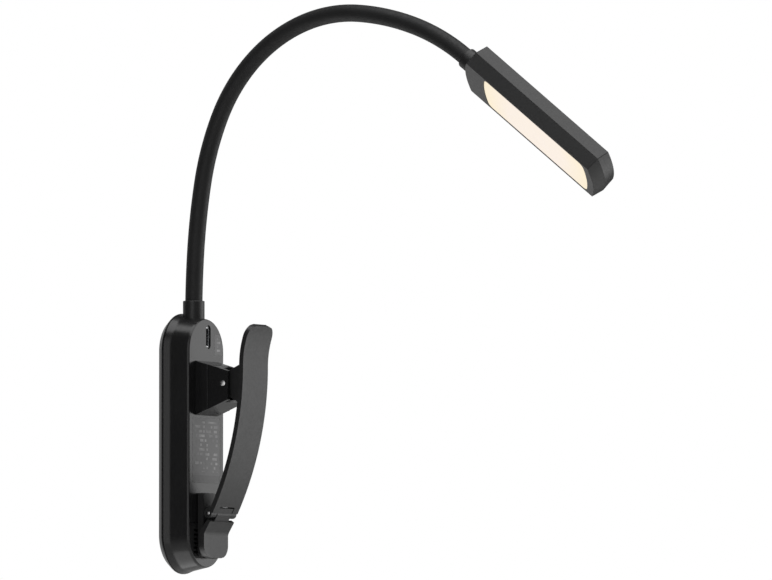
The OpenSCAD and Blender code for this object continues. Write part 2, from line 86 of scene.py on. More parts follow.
def surface(name: str, grid: Array, wrap_rows: bool = False) -> bpy.types.Mesh:
    """Makes a closed mesh from rows of closed rings.

    A face joins points j and j + 1 of row i to the same points of row i + 1, and each row wraps round.
    Where the rows don't wrap, one flat face closes the first ring and one the last.

    Args:
        name: name of the mesh.
        grid: rows x points x 3, in millimetres.
        wrap_rows: whether the last row joins back to the first, as on a ring-shaped body.

    Returns:
        The mesh, in metres, with its faces pointing outwards.
    """
    rows, cols = grid.shape[:2]
    index = np.arange(rows * cols).reshape(rows, cols)
    upper = np.roll(index, -1, axis=0) if wrap_rows else index[1:]
    lower = index if wrap_rows else index[:-1]
    quads = np.stack([lower, np.roll(lower, -1, 1), np.roll(upper, -1, 1), upper], axis=-1).reshape(-1, 4)
    faces = quads.tolist()
    if not wrap_rows:
        faces += [index[0][::-1].tolist(), index[-1].tolist()]
    points = grid.reshape(-1, 3) * MM
    if signed_volume(points, quads, None if wrap_rows else grid * MM) < 0:
        faces = [face[::-1] for face in faces]
    mesh = bpy.data.meshes.new(name)
    mesh.from_pydata(points.tolist(), [], faces)
    return mesh


def signed_volume(points: Array, quads: Array, ends: Array | None) -> float:
    """Volume inside the faces: the sum of a . (b x c) / 6 over their triangles.

    Args:
        points: N x 3 points.
        quads: M x 4 indices into them.
        ends: rows of rings whose first and last are closed by a flat face, or None.

    Returns:
        The volume, negative when the faces point inwards.
    """
    corners = np.concatenate([points[quads[:, [0, 1, 2]]], points[quads[:, [0, 2, 3]]]])
    if ends is not None:
        for ring, turn in ((ends[0], -1), (ends[-1], 1)):
            middle = np.broadcast_to(ring.mean(axis=0), ring.shape)
            corners = np.concatenate([corners, np.stack([middle, ring, np.roll(ring, -1, 0)], 1)[:, ::turn]])
    return float(np.einsum("ij,ij->i", corners[:, 0], np.cross(corners[:, 1], corners[:, 2])).sum() / 6)


def arc(centre: Sequence[float], radius: float, start: float, stop: float, count: int) -> Array:
    """Points of a circle: centre + radius * (cos a, sin a), for angles a spaced evenly.

    Args:
        centre: centre of the circle.
        radius: its radius.
        start: first angle, in degrees.
        stop: last angle, in degrees.
        count: number of points.

    Returns:
        The points, count x 2.
    """
    angle = np.radians(np.linspace(start, stop, count))
    return np.asarray(centre) + radius * np.stack([np.cos(angle), np.sin(angle)], axis=1)


def bowed_outline(x0: float, x1: float, half_w: float, end_r: float, corner: float) -> Array:
    """Outline of a bar with bowed ends: a bar smaller by the corner radius, pushed out along its normals.

    Each end is an arc of radius end_r, each side is straight, and at each corner the normal sweeps
    from the side's to the arc's while the point stays where it is, which gives a round corner.

    Args:
        x0: lowest x of the outline, at the middle of that end.
        x1: highest x of the outline.
        half_w: half of its width.
        end_r: radius of the ends.
        corner: radius of the four corners.

    Returns:
        The outline, N x 2, counter-clockwise.
    """
    r, w = end_r - corner, half_w - corner
    reach = math.asin(w / r)
    sweep = np.linspace(-reach, reach, END_POINTS)
    turn = np.linspace(math.pi / 2, reach, CORNER_POINTS)[::-1]
    angles = np.concatenate([sweep, turn])
    bases = np.stack([np.concatenate([np.cos(sweep), np.full(CORNER_POINTS, math.cos(reach))]) * r,
                      np.concatenate([np.sin(sweep) * r, np.full(CORNER_POINTS, w)])], axis=1)
    right = bases + corner * np.stack([np.cos(angles), np.sin(angles)], axis=1)
    low = right[END_POINTS:][::-1] * [1, -1]
    end = np.concatenate([low, right])
    return np.concatenate([end + [x1 - end_r, 0], -end + [x0 + end_r, 0]])


def prism(name: str, outline: Array, x0: float, x1: float) -> bpy.types.Mesh:
    """A profile in Y and Z carried straight across X, from x0 to x1."""
    ends = [np.insert(outline, 0, x, axis=1) for x in (x0, x1)]
    return surface(name, np.stack(ends))


def slab(name: str, outline: Array, y0: float, y1: float) -> bpy.types.Mesh:
    """An outline in X and Z carried straight along Y, from y0 to y1."""
    ends = [np.insert(outline, 1, y, axis=1) for y in (y0, y1)]
    return surface(name, np.stack(ends))


@dataclass(frozen=True)
class Axes:
    """A local frame: its origin in millimetres, and its X, Y and Z directions as the rows of a matrix."""

    origin: Array
    rows: Array

    def place(self, points: Array) -> Array:
        """Origin + x * X + y * Y + z * Z, for every point."""
        return self.origin + points @ self.rows

    @classmethod
    def along(cls, origin: Sequence[float], axis: Sequence[float]) -> "Axes":
        """Axes whose Z runs along the given direction."""
        z = np.asarray(axis, float) / np.linalg.norm(axis)
        side = np.cross([1, 0, 0] if abs(z[0]) < 0.9 else [0, 1, 0], z)
        x = side / np.linalg.norm(side)
        return cls(np.asarray(origin, float), np.stack([x, np.cross(z, x), z]))


def lathe(name: str, profile: Array, axes: Axes, count: int = 64, hollow: bool = False) -> bpy.types.Mesh:
    """A profile of radius and height turned about the axes' Z: (r cos a, r sin a, h).

    Args:
        name: name of the mesh.
        profile: M x 2 pairs of radius and height in millimetres.
        axes: where it stands.
        count: points round each ring.
        hollow: whether the profile is a closed loop beside the axis, which leaves a bore.

    Returns:
        The mesh.
    """
    angle = np.linspace(0, 2 * math.pi, count, endpoint=False)
    radius, height = profile[:, :1], profile[:, 1:]
    local = np.stack([radius * np.cos(angle), radius * np.sin(angle), height + 0 * angle], axis=-1)
    return surface(name, axes.place(local), wrap_rows=hollow)


def tube(name: str, path: Array, radius: float, sides: int = 16) -> bpy.types.Mesh:
    """A round wire along a path that stays across X: path + r cos a * N + r sin a * B.

    B is X made square to the path's direction T, and N is B x T.

    Args:
        name: name of the mesh.
        path: M x 3 points in millimetres.
        radius: radius of the wire.
        sides: points round the wire.

    Returns:
        The mesh.
    """
    along = np.gradient(path, axis=0)
    along /= np.linalg.norm(along, axis=1, keepdims=True)
    across = np.array([1.0, 0, 0]) - along[:, :1] * along
    across /= np.linalg.norm(across, axis=1, keepdims=True)
    normal = np.cross(across, along)
    angle = np.linspace(0, 2 * math.pi, sides, endpoint=False)[:, None]
    rings = path[:, None] + radius * (np.cos(angle) * normal[:, None] + np.sin(angle) * across[:, None])
    return surface(name, rings)


def bore(radius: float, half: float, at: Array) -> bpy.types.Mesh:
    """The solid of a round hole along X, from -half to half, at a place in Y and Z."""
    return lathe("bore", np.array([[radius, -half], [radius, half]]), Axes.along((0, *at), (1, 0, 0)), 48)


def rectangle(y0: float, y1: float, z0: float, z1: float) -> Array:
    """Outline of a rectangle in Y and Z."""
    return np.array([[y0, z0], [y1, z0], [y1, z1], [y0, z1]])


def add_object(name: str, data: bpy.types.ID) -> bpy.types.Object:
    """Makes an object of that data and links it to the scene.

    Args:
        name: name of the object.
        data: its mesh, light or camera.

    Returns:
        The object.
    """
    obj = bpy.data.objects.new(name, data)
    bpy.context.scene.collection.objects.link(obj)
    return obj


class Cut(Enum):
    """What one solid does to another."""

    ADD = "UNION"
    REMOVE = "DIFFERENCE"
    KEEP = "INTERSECT"


def combine(base: bpy.types.Mesh, tools: Sequence[bpy.types.Mesh], cut: Cut) -> bpy.types.Mesh:
    """Adds solids to a solid, removes them from it, or keeps what lies inside them.

    Args:
        base: the solid to change.
        tools: the other solids. They are used up.
        cut: what they do to it.

    Returns:
        The new solid.
    """
    for tool in tools:
        pair = [add_object(mesh.name, mesh) for mesh in (base, tool)]
        change = pair[0].modifiers.new("combine", "BOOLEAN")
        change.object, change.operation, change.solver = pair[1], cut.value, "EXACT"
        graph = bpy.context.evaluated_depsgraph_get()
        mesh = bpy.data.meshes.new_from_object(pair[0].evaluated_get(graph))
        mesh.name = base.name
        for obj in pair:
            bpy.data.objects.remove(obj)
        base = mesh
    return base


# ---------- finishes ----------

SOCKETS = {"value": "NodeSocketFloat", "colour": "NodeSocketColor", "vector": "NodeSocketVector"}
Value = float | tuple[float, ...] | bpy.types.NodeSocket
Sockets = dict[str, bpy.types.NodeSocket]


class Wiring:
    """A node tree under construction, with short calls for its usual nodes."""

    def __init__(self, tree: bpy.types.NodeTree) -> None:
        """Starts on an empty tree."""
        self.tree = tree
        tree.nodes.clear()

    def add(self, kind: str, inputs: dict[str | int, Value] | None = None,
            **settings: object) -> bpy.types.Node:
        """Adds a node, sets its properties, and links or sets its inputs.

        Args:
            kind: the node's type.
            inputs: for each socket, a number, a colour or another node's output.
            **settings: the node's own properties.

        Returns:
            The node.
        """
        node = self.tree.nodes.new(kind)
        for key, value in settings.items():
            setattr(node, key, value)
        for key, value in (inputs or {}).items():
            if isinstance(value, bpy.types.NodeSocket):
                self.tree.links.new(value, node.inputs[key])
            else:
                node.inputs[key].default_value = value
        return node

    def math(self, operation: str, *values: Value) -> bpy.types.NodeSocket:
        """The result of a Math node."""
        return self.add("ShaderNodeMath", dict(enumerate(values)), operation=operation).outputs[0]

    def mix(self, share: Value, first: Value, second: Value) -> bpy.types.NodeSocket:
        """A colour between first and second."""
        node = self.add("ShaderNodeMix", {0: share, 6: first, 7: second}, data_type="RGBA")
        return node.outputs[2]

    def noise(self, vector: Value, scale: Value, detail: float = 2.0) -> bpy.types.NodeSocket:
        """The value of a noise texture."""
        return self.add("ShaderNodeTexNoise", {"Vector": vector, "Scale": scale, "Detail": detail}).outputs[0]

    def ramp(self, value: Value, low: Value, high: Value,
             to_low: Value, to_high: Value) -> bpy.types.NodeSocket:
        """A value moved from one range to another, held at its ends."""
        inputs = {"Value": value, "From Min": low, "From Max": high, "To Min": to_low, "To Max": to_high}
        return self.add("ShaderNodeMapRange", inputs).outputs[0]

    def bump(self, height: Value, strength: float, distance: float) -> bpy.types.NodeSocket:
        """A normal bent by a height, where a height of 1 stands that many metres up."""
        inputs = {"Height": height, "Strength": strength, "Distance": distance}
        return self.add("ShaderNodeBump", inputs).outputs[0]

    def group(self, tree: bpy.types.NodeTree, **inputs: Value) -> bpy.types.Node:
        """Adds a node group and links or sets its named inputs.

        Args:
            tree: the group's tree.
            **inputs: for each socket, a number, a colour or another node's output.

        Returns:
            The node.
        """
        node = self.add("ShaderNodeGroup", node_tree=tree)
        for key, value in inputs.items():
            socket = node.inputs[key.replace("_", " ")]
            if isinstance(value, bpy.types.NodeSocket):
                self.tree.links.new(value, socket)
            else:
                socket.default_value = value
        return node


def make_group(name: str, inputs: dict[str, str], outputs: dict[str, str],
               build: Callable[[Wiring, Sockets], Sockets]) -> bpy.types.NodeTree:
    """Makes a shader node group.

    Args:
        name: name of the group.
        inputs: each input's name and kind.
        outputs: each output's name and kind.
        build: wires the group from its inputs, and gives its outputs by name.

    Returns:
        The group's tree.
    """
    tree = bpy.data.node_groups.new(name, "ShaderNodeTree")
    wiring = Wiring(tree)
    for side, sockets in (("INPUT", inputs), ("OUTPUT", outputs)):
        for key, kind in sockets.items():
            tree.interface.new_socket(name=key, in_out=side, socket_type=SOCKETS[kind])
    start = wiring.add("NodeGroupInput")
    made = build(wiring, {key: start.outputs[key] for key in inputs})
    wiring.add("NodeGroupOutput", made)
    return tree


def wire_grain(w: Wiring, given: Sockets) -> Sockets:
    """Spark-eroded grain: fine cells over a broader drift.

    Args:
        w: the group's wiring.
        given: its inputs by name.

    Returns:
        Its outputs by name.
    """
    cells = w.add("ShaderNodeTexVoronoi", {"Vector": given["Vector"], "Scale": given["Scale"]},
                  feature="SMOOTH_F1").outputs["Distance"]
    drift = w.noise(given["Vector"], w.math("MULTIPLY", given["Scale"], 0.21), 3.0)
    height = w.math("ADD", w.math("MULTIPLY", cells, 0.6), w.math("MULTIPLY", drift, 0.5))
    return {"Height": w.math("MULTIPLY", height, given["Depth"]), "Drift": drift}


def wire_rub_and_highlight(w: Wiring, given: Sockets) -> Sockets:
    """Handling wear and a painted edge highlight: edges that stand out, broken up by noise, made lighter
    partly as wear and partly as painted highlight.

    Args:
        w: the group's wiring.
        given: its inputs by name.

    Returns:
        Its outputs by name.
    """
    # mask of convex edges: partly wear, partly a painted edge highlight
    edges = w.ramp(w.add("ShaderNodeNewGeometry").outputs["Pointiness"], 0.52, 0.62, 0.0, 1.0)
    broken = w.ramp(w.noise(given["Vector"], 900.0, 4.0), 0.35, 0.7, 0.35, 1.0)
    return {"Mask": w.math("MULTIPLY", w.math("MULTIPLY", edges, broken), given["Amount"])}


def wire_dust(w: Wiring, given: Sockets) -> Sockets:
    """Dust: faint specks that lie on faces which look up.

    Args:
        w: the group's wiring.
        given: its inputs by name.

    Returns:
        Its outputs by name.
    """
    up = w.add("ShaderNodeSeparateXYZ", {0: w.add("ShaderNodeNewGeometry").outputs["Normal"]}).outputs[2]
    specks = w.ramp(w.noise(given["Vector"], 1500.0, 5.0), 0.56, 0.75, 0.0, 1.0)
    lying = w.ramp(up, -0.2, 0.9, 0.25, 1.0)
    return {"Mask": w.math("MULTIPLY", w.math("MULTIPLY", specks, lying), given["Amount"])}


def wire_brushed(w: Wiring, given: Sockets) -> Sockets:
    """Drawn metal: noise stretched along one direction.

    Args:
        w: the group's wiring.
        given: its inputs by name.

    Returns:
        Its outputs by name.
    """
    stretched = w.add("ShaderNodeMapping", {"Vector": given["Vector"], "Scale": given["Stretch"]}).outputs[0]
    lines = w.noise(stretched, 1.0, 4.0)
    return {"Height": w.math("MULTIPLY", lines, given["Depth"]), "Lines": lines}


def wire_print(w: Wiring, given: Sockets) -> Sockets:
    """Printed bars: short dashes of uneven length in even rows, and nothing that could be read.

    Args:
        w: the group's wiring.
        given: its inputs by name.

    Returns:
        Its outputs by name.
    """
    place = w.add("ShaderNodeSeparateXYZ", {0: given["Vector"]})
    row = w.math("DIVIDE", place.outputs[2], given["Row"])
    column = w.math("DIVIDE", place.outputs[0], w.math("MULTIPLY", given["Row"], 0.62))
    cell = w.add("ShaderNodeCombineXYZ", {0: w.math("FLOOR", column), 1: w.math("FLOOR", row)}).outputs[0]
    chosen = w.math("LESS_THAN", w.add("ShaderNodeTexWhiteNoise", {"Vector": cell}).outputs[0], given["Fill"])
    in_row = w.math("COMPARE", w.math("FRACT", row), 0.5, 0.27)
    return {"Mask": w.math("MULTIPLY", chosen, in_row)}


class Effects:
    """The node groups that the finishes share."""

    def __init__(self) -> None:
        """Builds each group once."""
        mask = {"Mask": "value"}
        self.grain = make_group("moulded_grain", {"Vector": "vector", "Scale": "value", "Depth": "value"},
                                {"Height": "value", "Drift": "value"}, wire_grain)
        # edge mask: wear and a painted edge highlight
        self.rub_and_highlight = make_group("edge_rub_and_highlight", {"Vector": "vector", "Amount": "value"}, mask, wire_rub_and_highlight)
        self.dust = make_group("fine_dust", {"Vector": "vector", "Amount": "value"}, mask, wire_dust)
        self.brushed = make_group("drawn_metal", {"Vector": "vector", "Stretch": "vector", "Depth": "value"},
                                  {"Height": "value", "Lines": "value"}, wire_brushed)
        self.print = make_group("printed_bars", {"Vector": "vector", "Row": "value", "Fill": "value"},
                                mask, wire_print)


Colour = tuple[float, float, float]
DUST = (0.42, 0.41, 0.39, 1.0)


def solid(colour: Colour, share: float = 1.0) -> tuple[float, float, float, float]:
    """A colour with its alpha, made lighter or darker by share."""
    return (*(min(1.0, c * share) for c in colour), 1.0)


def start_material(name: str) -> tuple[bpy.types.Material, Wiring, bpy.types.NodeSocket]:
    """A new material, its wiring, and its Object coordinates."""
    material = bpy.data.materials.new(name)
    material.use_nodes = True
    w = Wiring(material.node_tree)
    return material, w, w.add("ShaderNodeTexCoord").outputs["Object"]


def end_material(w: Wiring, inputs: dict[str | int, Value]) -> None:
    """Adds the surface shader and the material's output."""
    shader = w.add("ShaderNodeBsdfPrincipled", inputs)
    w.add("ShaderNodeOutputMaterial", {"Surface": shader.outputs[0]})


@dataclass(frozen=True)
class Plastic:
    """Moulded plastic or rubber, with grain, colour drift, edges lightened partly by wear and partly as a
    painted highlight, and a little dust.
    """

    name: str
    colour: Colour
    roughness: float
    grain: float = 0.35
    depth: float = 0.012
    rub_and_highlight: float = 0.25
    dust: float = 0.05
    specular: float = 0.5

    def build(self, fx: Effects) -> bpy.types.Material:
        """Makes the material.

        Args:
            fx: the shared node groups.

        Returns:
            The material.
        """
        material, w, place = start_material(self.name)
        grain = w.group(fx.grain, Vector=place, Scale=1 / (self.grain * MM), Depth=1.0)
        rub_and_highlight = w.group(fx.rub_and_highlight, Vector=place, Amount=self.rub_and_highlight).outputs[0]
        dust = w.group(fx.dust, Vector=place, Amount=self.dust).outputs[0]
        patches = w.ramp(w.noise(place, 90.0, 3.0), 0.3, 0.7, 0.0, 1.0)
        body = w.mix(patches, solid(self.colour, 0.85), solid(self.colour, 1.15))
        # edges made lighter: partly wear, partly a painted highlight
        rubbed_and_highlighted = w.mix(rub_and_highlight, body, solid(self.colour, 3.0))
        dusty = w.mix(dust, rubbed_and_highlighted, DUST)
        rough = w.ramp(grain.outputs["Drift"], 0.3, 0.7, self.roughness * 0.9, self.roughness * 1.1)
        rougher = w.math("ADD", rough, w.math("MULTIPLY", w.math("SUBTRACT", dust, rub_and_highlight), 0.25))
        bump = w.bump(grain.outputs["Height"], 0.6, self.depth * MM)
        end_material(w, {"Base Color": dusty, "Roughness": rougher, "Normal": bump,
                         "Specular IOR Level": self.specular})
        return material


@dataclass(frozen=True)
class Metal:
    """Drawn, turned or plated metal, with fine lines and small stains."""

    name: str
    colour: Colour
    roughness: float
    stretch: tuple[float, float, float] = (200.0, 9000.0, 9000.0)
    depth: float = 0.004

    def build(self, fx: Effects) -> bpy.types.Material:
        """Makes the material.

        Args:
            fx: the shared node groups.

        Returns:
            The material.
        """
        material, w, place = start_material(self.name)
        lines = w.group(fx.brushed, Vector=place, Stretch=self.stretch, Depth=1.0)
        stains = w.ramp(w.noise(place, 600.0, 4.0), 0.45, 0.75, 0.0, 0.35)
        body = w.mix(lines.outputs["Lines"], solid(self.colour, 0.82), solid(self.colour, 1.1))
        stained = w.mix(stains, body, solid(self.colour, 0.6))
        rough = w.ramp(lines.outputs["Lines"], 0.3, 0.7, self.roughness * 0.8, self.roughness * 1.25)
        bump = w.bump(lines.outputs["Height"], 0.5, self.depth * MM)
        end_material(w, {"Base Color": stained, "Metallic": 1.0, "Roughness": rough, "Normal": bump})
        return material


@dataclass(frozen=True)
class Label:
    """A printed film: rows of dashes over its ground, and a plain darker band along its lower edge."""

    name: str
    ground: Colour
    ink: Colour
    row: float
    fill: float
    band_z: float
    centre: tuple[float, float]
    half: tuple[float, float]

    def build(self, fx: Effects) -> bpy.types.Material:
        """Makes the material.

        Args:
            fx: the shared node groups.

        Returns:
            The material.
        """
        material, w, place = start_material(self.name)
        bars = w.group(fx.print, Vector=place, Row=self.row * MM, Fill=self.fill).outputs[0]
        axes = w.add("ShaderNodeSeparateXYZ", {0: place})
        inside = [w.math("LESS_THAN", w.math("ABSOLUTE", w.math("SUBTRACT", axes.outputs[k], c * MM)), h * MM)
                  for k, c, h in ((0, self.centre[0], self.half[0]), (2, self.centre[1], self.half[1]))]
        printed = w.math("MULTIPLY", bars, w.math("MULTIPLY", *inside))
        band = w.math("LESS_THAN", axes.outputs[2], self.band_z * MM)
        grain = w.group(fx.grain, Vector=place, Scale=2600.0, Depth=1.0)
        dust = w.group(fx.dust, Vector=place, Amount=0.08).outputs[0]
        faded = w.ramp(w.noise(place, 180.0), 0.35, 0.65, 0.1, 0.9)
        ground = w.mix(band, solid(self.ground), solid(self.ground, 0.5))
        inked = w.mix(w.math("MULTIPLY", printed, faded), ground, solid(self.ink))
        dusty = w.mix(dust, inked, DUST)
        rough = w.ramp(grain.outputs["Drift"], 0.3, 0.7, 0.3, 0.38)
        bump = w.bump(grain.outputs["Height"], 0.3, 5e-6)
        end_material(w, {"Base Color": dusty, "Roughness": rough, "Normal": bump})
        return material


@dataclass(frozen=True)
class Glow:
    """Opal plastic lit from behind, a little yellower and dimmer towards its rim."""

    name: str
    colour: Colour
    rim: Colour
    strength: float
    centre: Vector
    reach: float

    def build(self, fx: Effects) -> bpy.types.Material:
        """Makes the material.

        Args:
            fx: the shared node groups.

        Returns:
            The material.
        """
        material, w, place = start_material(self.name)
        offset = w.add("ShaderNodeVectorMath", {0: place, 1: tuple(self.centre)}, operation="DISTANCE")
        fade = w.ramp(offset.outputs["Value"], self.reach * 0.45, self.reach, 0.0, 1.0)
        cloud = w.ramp(w.noise(place, 160.0, 3.0), 0.3, 0.7, 0.0, 0.12)
        share = w.math("ADD", fade, cloud)
        glow = w.mix(share, solid(self.colour), solid(self.rim))
        grain = w.group(fx.grain, Vector=place, Scale=3200.0, Depth=1.0)
        rough = w.ramp(grain.outputs["Drift"], 0.3, 0.7, 0.34, 0.42)
        bump = w.bump(grain.outputs["Height"], 0.2, 4e-6)
        end_material(w, {"Base Color": (0.02, 0.02, 0.018, 1.0), "Roughness": rough, "Emission Color": glow,
                         "Emission Strength": self.strength, "Normal": bump})
        return material


@dataclass(frozen=True)
class Board:
    """A circuit board: solder mask over a lattice of copper tracks."""

    name: str
    mask: Colour
    track: Colour
    pitch: float

    def build(self, fx: Effects) -> bpy.types.Material:
        """Makes the material.

        Args:
            fx: the shared node groups.

        Returns:
            The material.
        """
        material, w, place = start_material(self.name)
        bricks = w.add("ShaderNodeTexBrick", {
            "Vector": place, "Scale": 1 / (self.pitch * MM), "Mortar Size": 0.06,
            "Color1": solid(self.mask), "Color2": solid(self.mask, 1.3), "Mortar": solid(self.track)})
        grain = w.group(fx.grain, Vector=place, Scale=2400.0, Depth=1.0)
        mottled = w.mix(w.ramp(grain.outputs["Drift"], 0.3, 0.7, 0.0, 0.25), bricks.outputs["Color"],
                        solid(self.mask, 0.6))
        rough = w.ramp(bricks.outputs["Fac"], 0.0, 1.0, 0.45, 0.3)
        bump = w.bump(bricks.outputs["Fac"], 0.4, 2e-5)
        end_material(w, {"Base Color": mottled, "Roughness": rough, "Normal": bump})
        return material


Finish = Plastic | Metal | Label | Glow | Board


# ---------- the workshop ----------

@dataclass
class Workshop:
    """Makes pieces and finishes, and keeps both by name."""

    effects: Effects = field(default_factory=Effects)
    materials: dict[str, bpy.types.Material] = field(default_factory=dict)

    def finish(self, finish: Finish) -> bpy.types.Material:
        """The finish's material, built the first time that it is asked for."""
        if finish.name not in self.materials:
            self.materials[finish.name] = finish.build(self.effects)
        return self.materials[finish.name]

    def piece(self, mesh: bpy.types.Mesh, finish: Finish,
              nodes: Sequence[str], round_mm: float = 0.0) -> bpy.types.Object:
        """Makes an object of a mesh, smooths and dresses it, and lets it stand for its CAD nodes.

        Args:
            mesh: the finished mesh, in place. Its name becomes the piece's.
            finish: what it is made of.
            nodes: the CAD nodes that it replaces.
            round_mm: radius that its sharp edges are rounded to, or 0.

        Returns:
            The object, which doesn't ride on a body yet.
        """
        obj = add_object(mesh.name, mesh)
        mesh.polygons.foreach_set("use_smooth", np.ones(len(mesh.polygons), bool))
        mesh.set_sharp_from_angle(angle=SHARP_ANGLE)
        mesh.materials.clear()
        mesh.materials.append(self.finish(finish))
        if round_mm:
            bevel = obj.modifiers.new("rounding", "BEVEL")
            bevel.width, bevel.segments = round_mm * MM, 3
            bevel.limit_method, bevel.angle_limit = "ANGLE", SHARP_ANGLE
            bevel.use_clamp_overlap, bevel.harden_normals = True, True
        weigh = obj.modifiers.new("flat_faces", "WEIGHTED_NORMAL")
        weigh.keep_sharp = True
        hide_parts(*nodes)
        LOG.info("%s: %d faces, for %s", obj.name, len(mesh.polygons), ", ".join(nodes))
        return obj

    def dress(self, finish: Finish, *nodes: str) -> None:
        """Gives CAD nodes whose shape is already right their finish.

        Args:
            finish: what they are made of.
            *nodes: the nodes.
        """
        for name in nodes:
            obj = frame["nodes"][name]
            obj.data.materials.clear()
            obj.data.materials.append(self.finish(finish))
            LOG.info("%s: finish %s", name, finish.name)


def box_mm(node: str) -> tuple[Array, Array]:
    """Lowest and highest corner of a CAD node, in millimetres."""
    low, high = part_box(node)
    return np.array(low) / MM, np.array(high) / MM


def joint_mm(name: str) -> tuple[Array, Array]:
    """Place in millimetres and direction of a joint's axis."""
    joint = next(j for j in frame["joints"] if j["name"] == name)
    return np.array(joint["pos_m"]) / MM, np.array(joint["axis"], float)


# the wear amounts below also set how strong the painted edge highlight is
SHELL = Plastic("glossy_shell", (0.009, 0.009, 0.0095), 0.24, grain=0.3, depth=0.004, rub_and_highlight=0.12, dust=0.03)
SATIN = Plastic("satin_lever", (0.012, 0.012, 0.0125), 0.42, grain=0.28, depth=0.01, rub_and_highlight=0.15, dust=0.03)
RUBBER = Plastic("soft_rubber", (0.01, 0.01, 0.0105), 0.62, grain=0.4, depth=0.02, rub_and_highlight=0.1, dust=0.08,
                 specular=0.35)
SLEEVE = Plastic("neck_sleeve", (0.009, 0.009, 0.0095), 0.6, grain=0.45, depth=0.02, rub_and_highlight=0.05, dust=0.05,
                 specular=0.4)
COLLAR = Plastic("satin_collar", (0.01, 0.01, 0.0105), 0.45, grain=0.25, depth=0.008, rub_and_highlight=0.2, dust=0.03)
HEAD = Plastic("satin_head", (0.012, 0.012, 0.0125), 0.4, grain=0.26, depth=0.008, rub_and_highlight=0.15, dust=0.03)
TRAY = Plastic("white_tray", (0.8, 0.8, 0.78), 0.4, rub_and_highlight=0.0, dust=0.02)
CELL = Plastic("cell_wrap", (0.14, 0.2, 0.3), 0.35, grain=0.8, depth=0.03, rub_and_highlight=0.1)
CHIP = Plastic("phosphor", (0.85, 0.62, 0.2), 0.35, grain=0.2, depth=0.004, rub_and_highlight=0.0, dust=0.0)
ZINC = Metal("zinc_screw", (0.55, 0.56, 0.57), 0.3)
BRIGHT = Metal("bright_pin", (0.9, 0.9, 0.9), 0.45, stretch=(9000.0, 300.0, 300.0))
WIRE = Metal("spring_wire", (0.5, 0.5, 0.52), 0.28)
STEEL = Metal("core_steel", (0.42, 0.43, 0.45), 0.35)
PLATED = Metal("socket_plating", (0.6, 0.61, 0.62), 0.25, stretch=(3000.0, 200.0, 3000.0))
BRASS = Metal("electrode_brass", (0.72, 0.52, 0.22), 0.3)
GREEN_BOARD = Board("green_board", (0.02, 0.13, 0.05), (0.3, 0.24, 0.08), 2.2)
WHITE_BOARD = Board("white_board", (0.8, 0.8, 0.78), (0.6, 0.55, 0.4), 6.0)


# ---------- body ----------

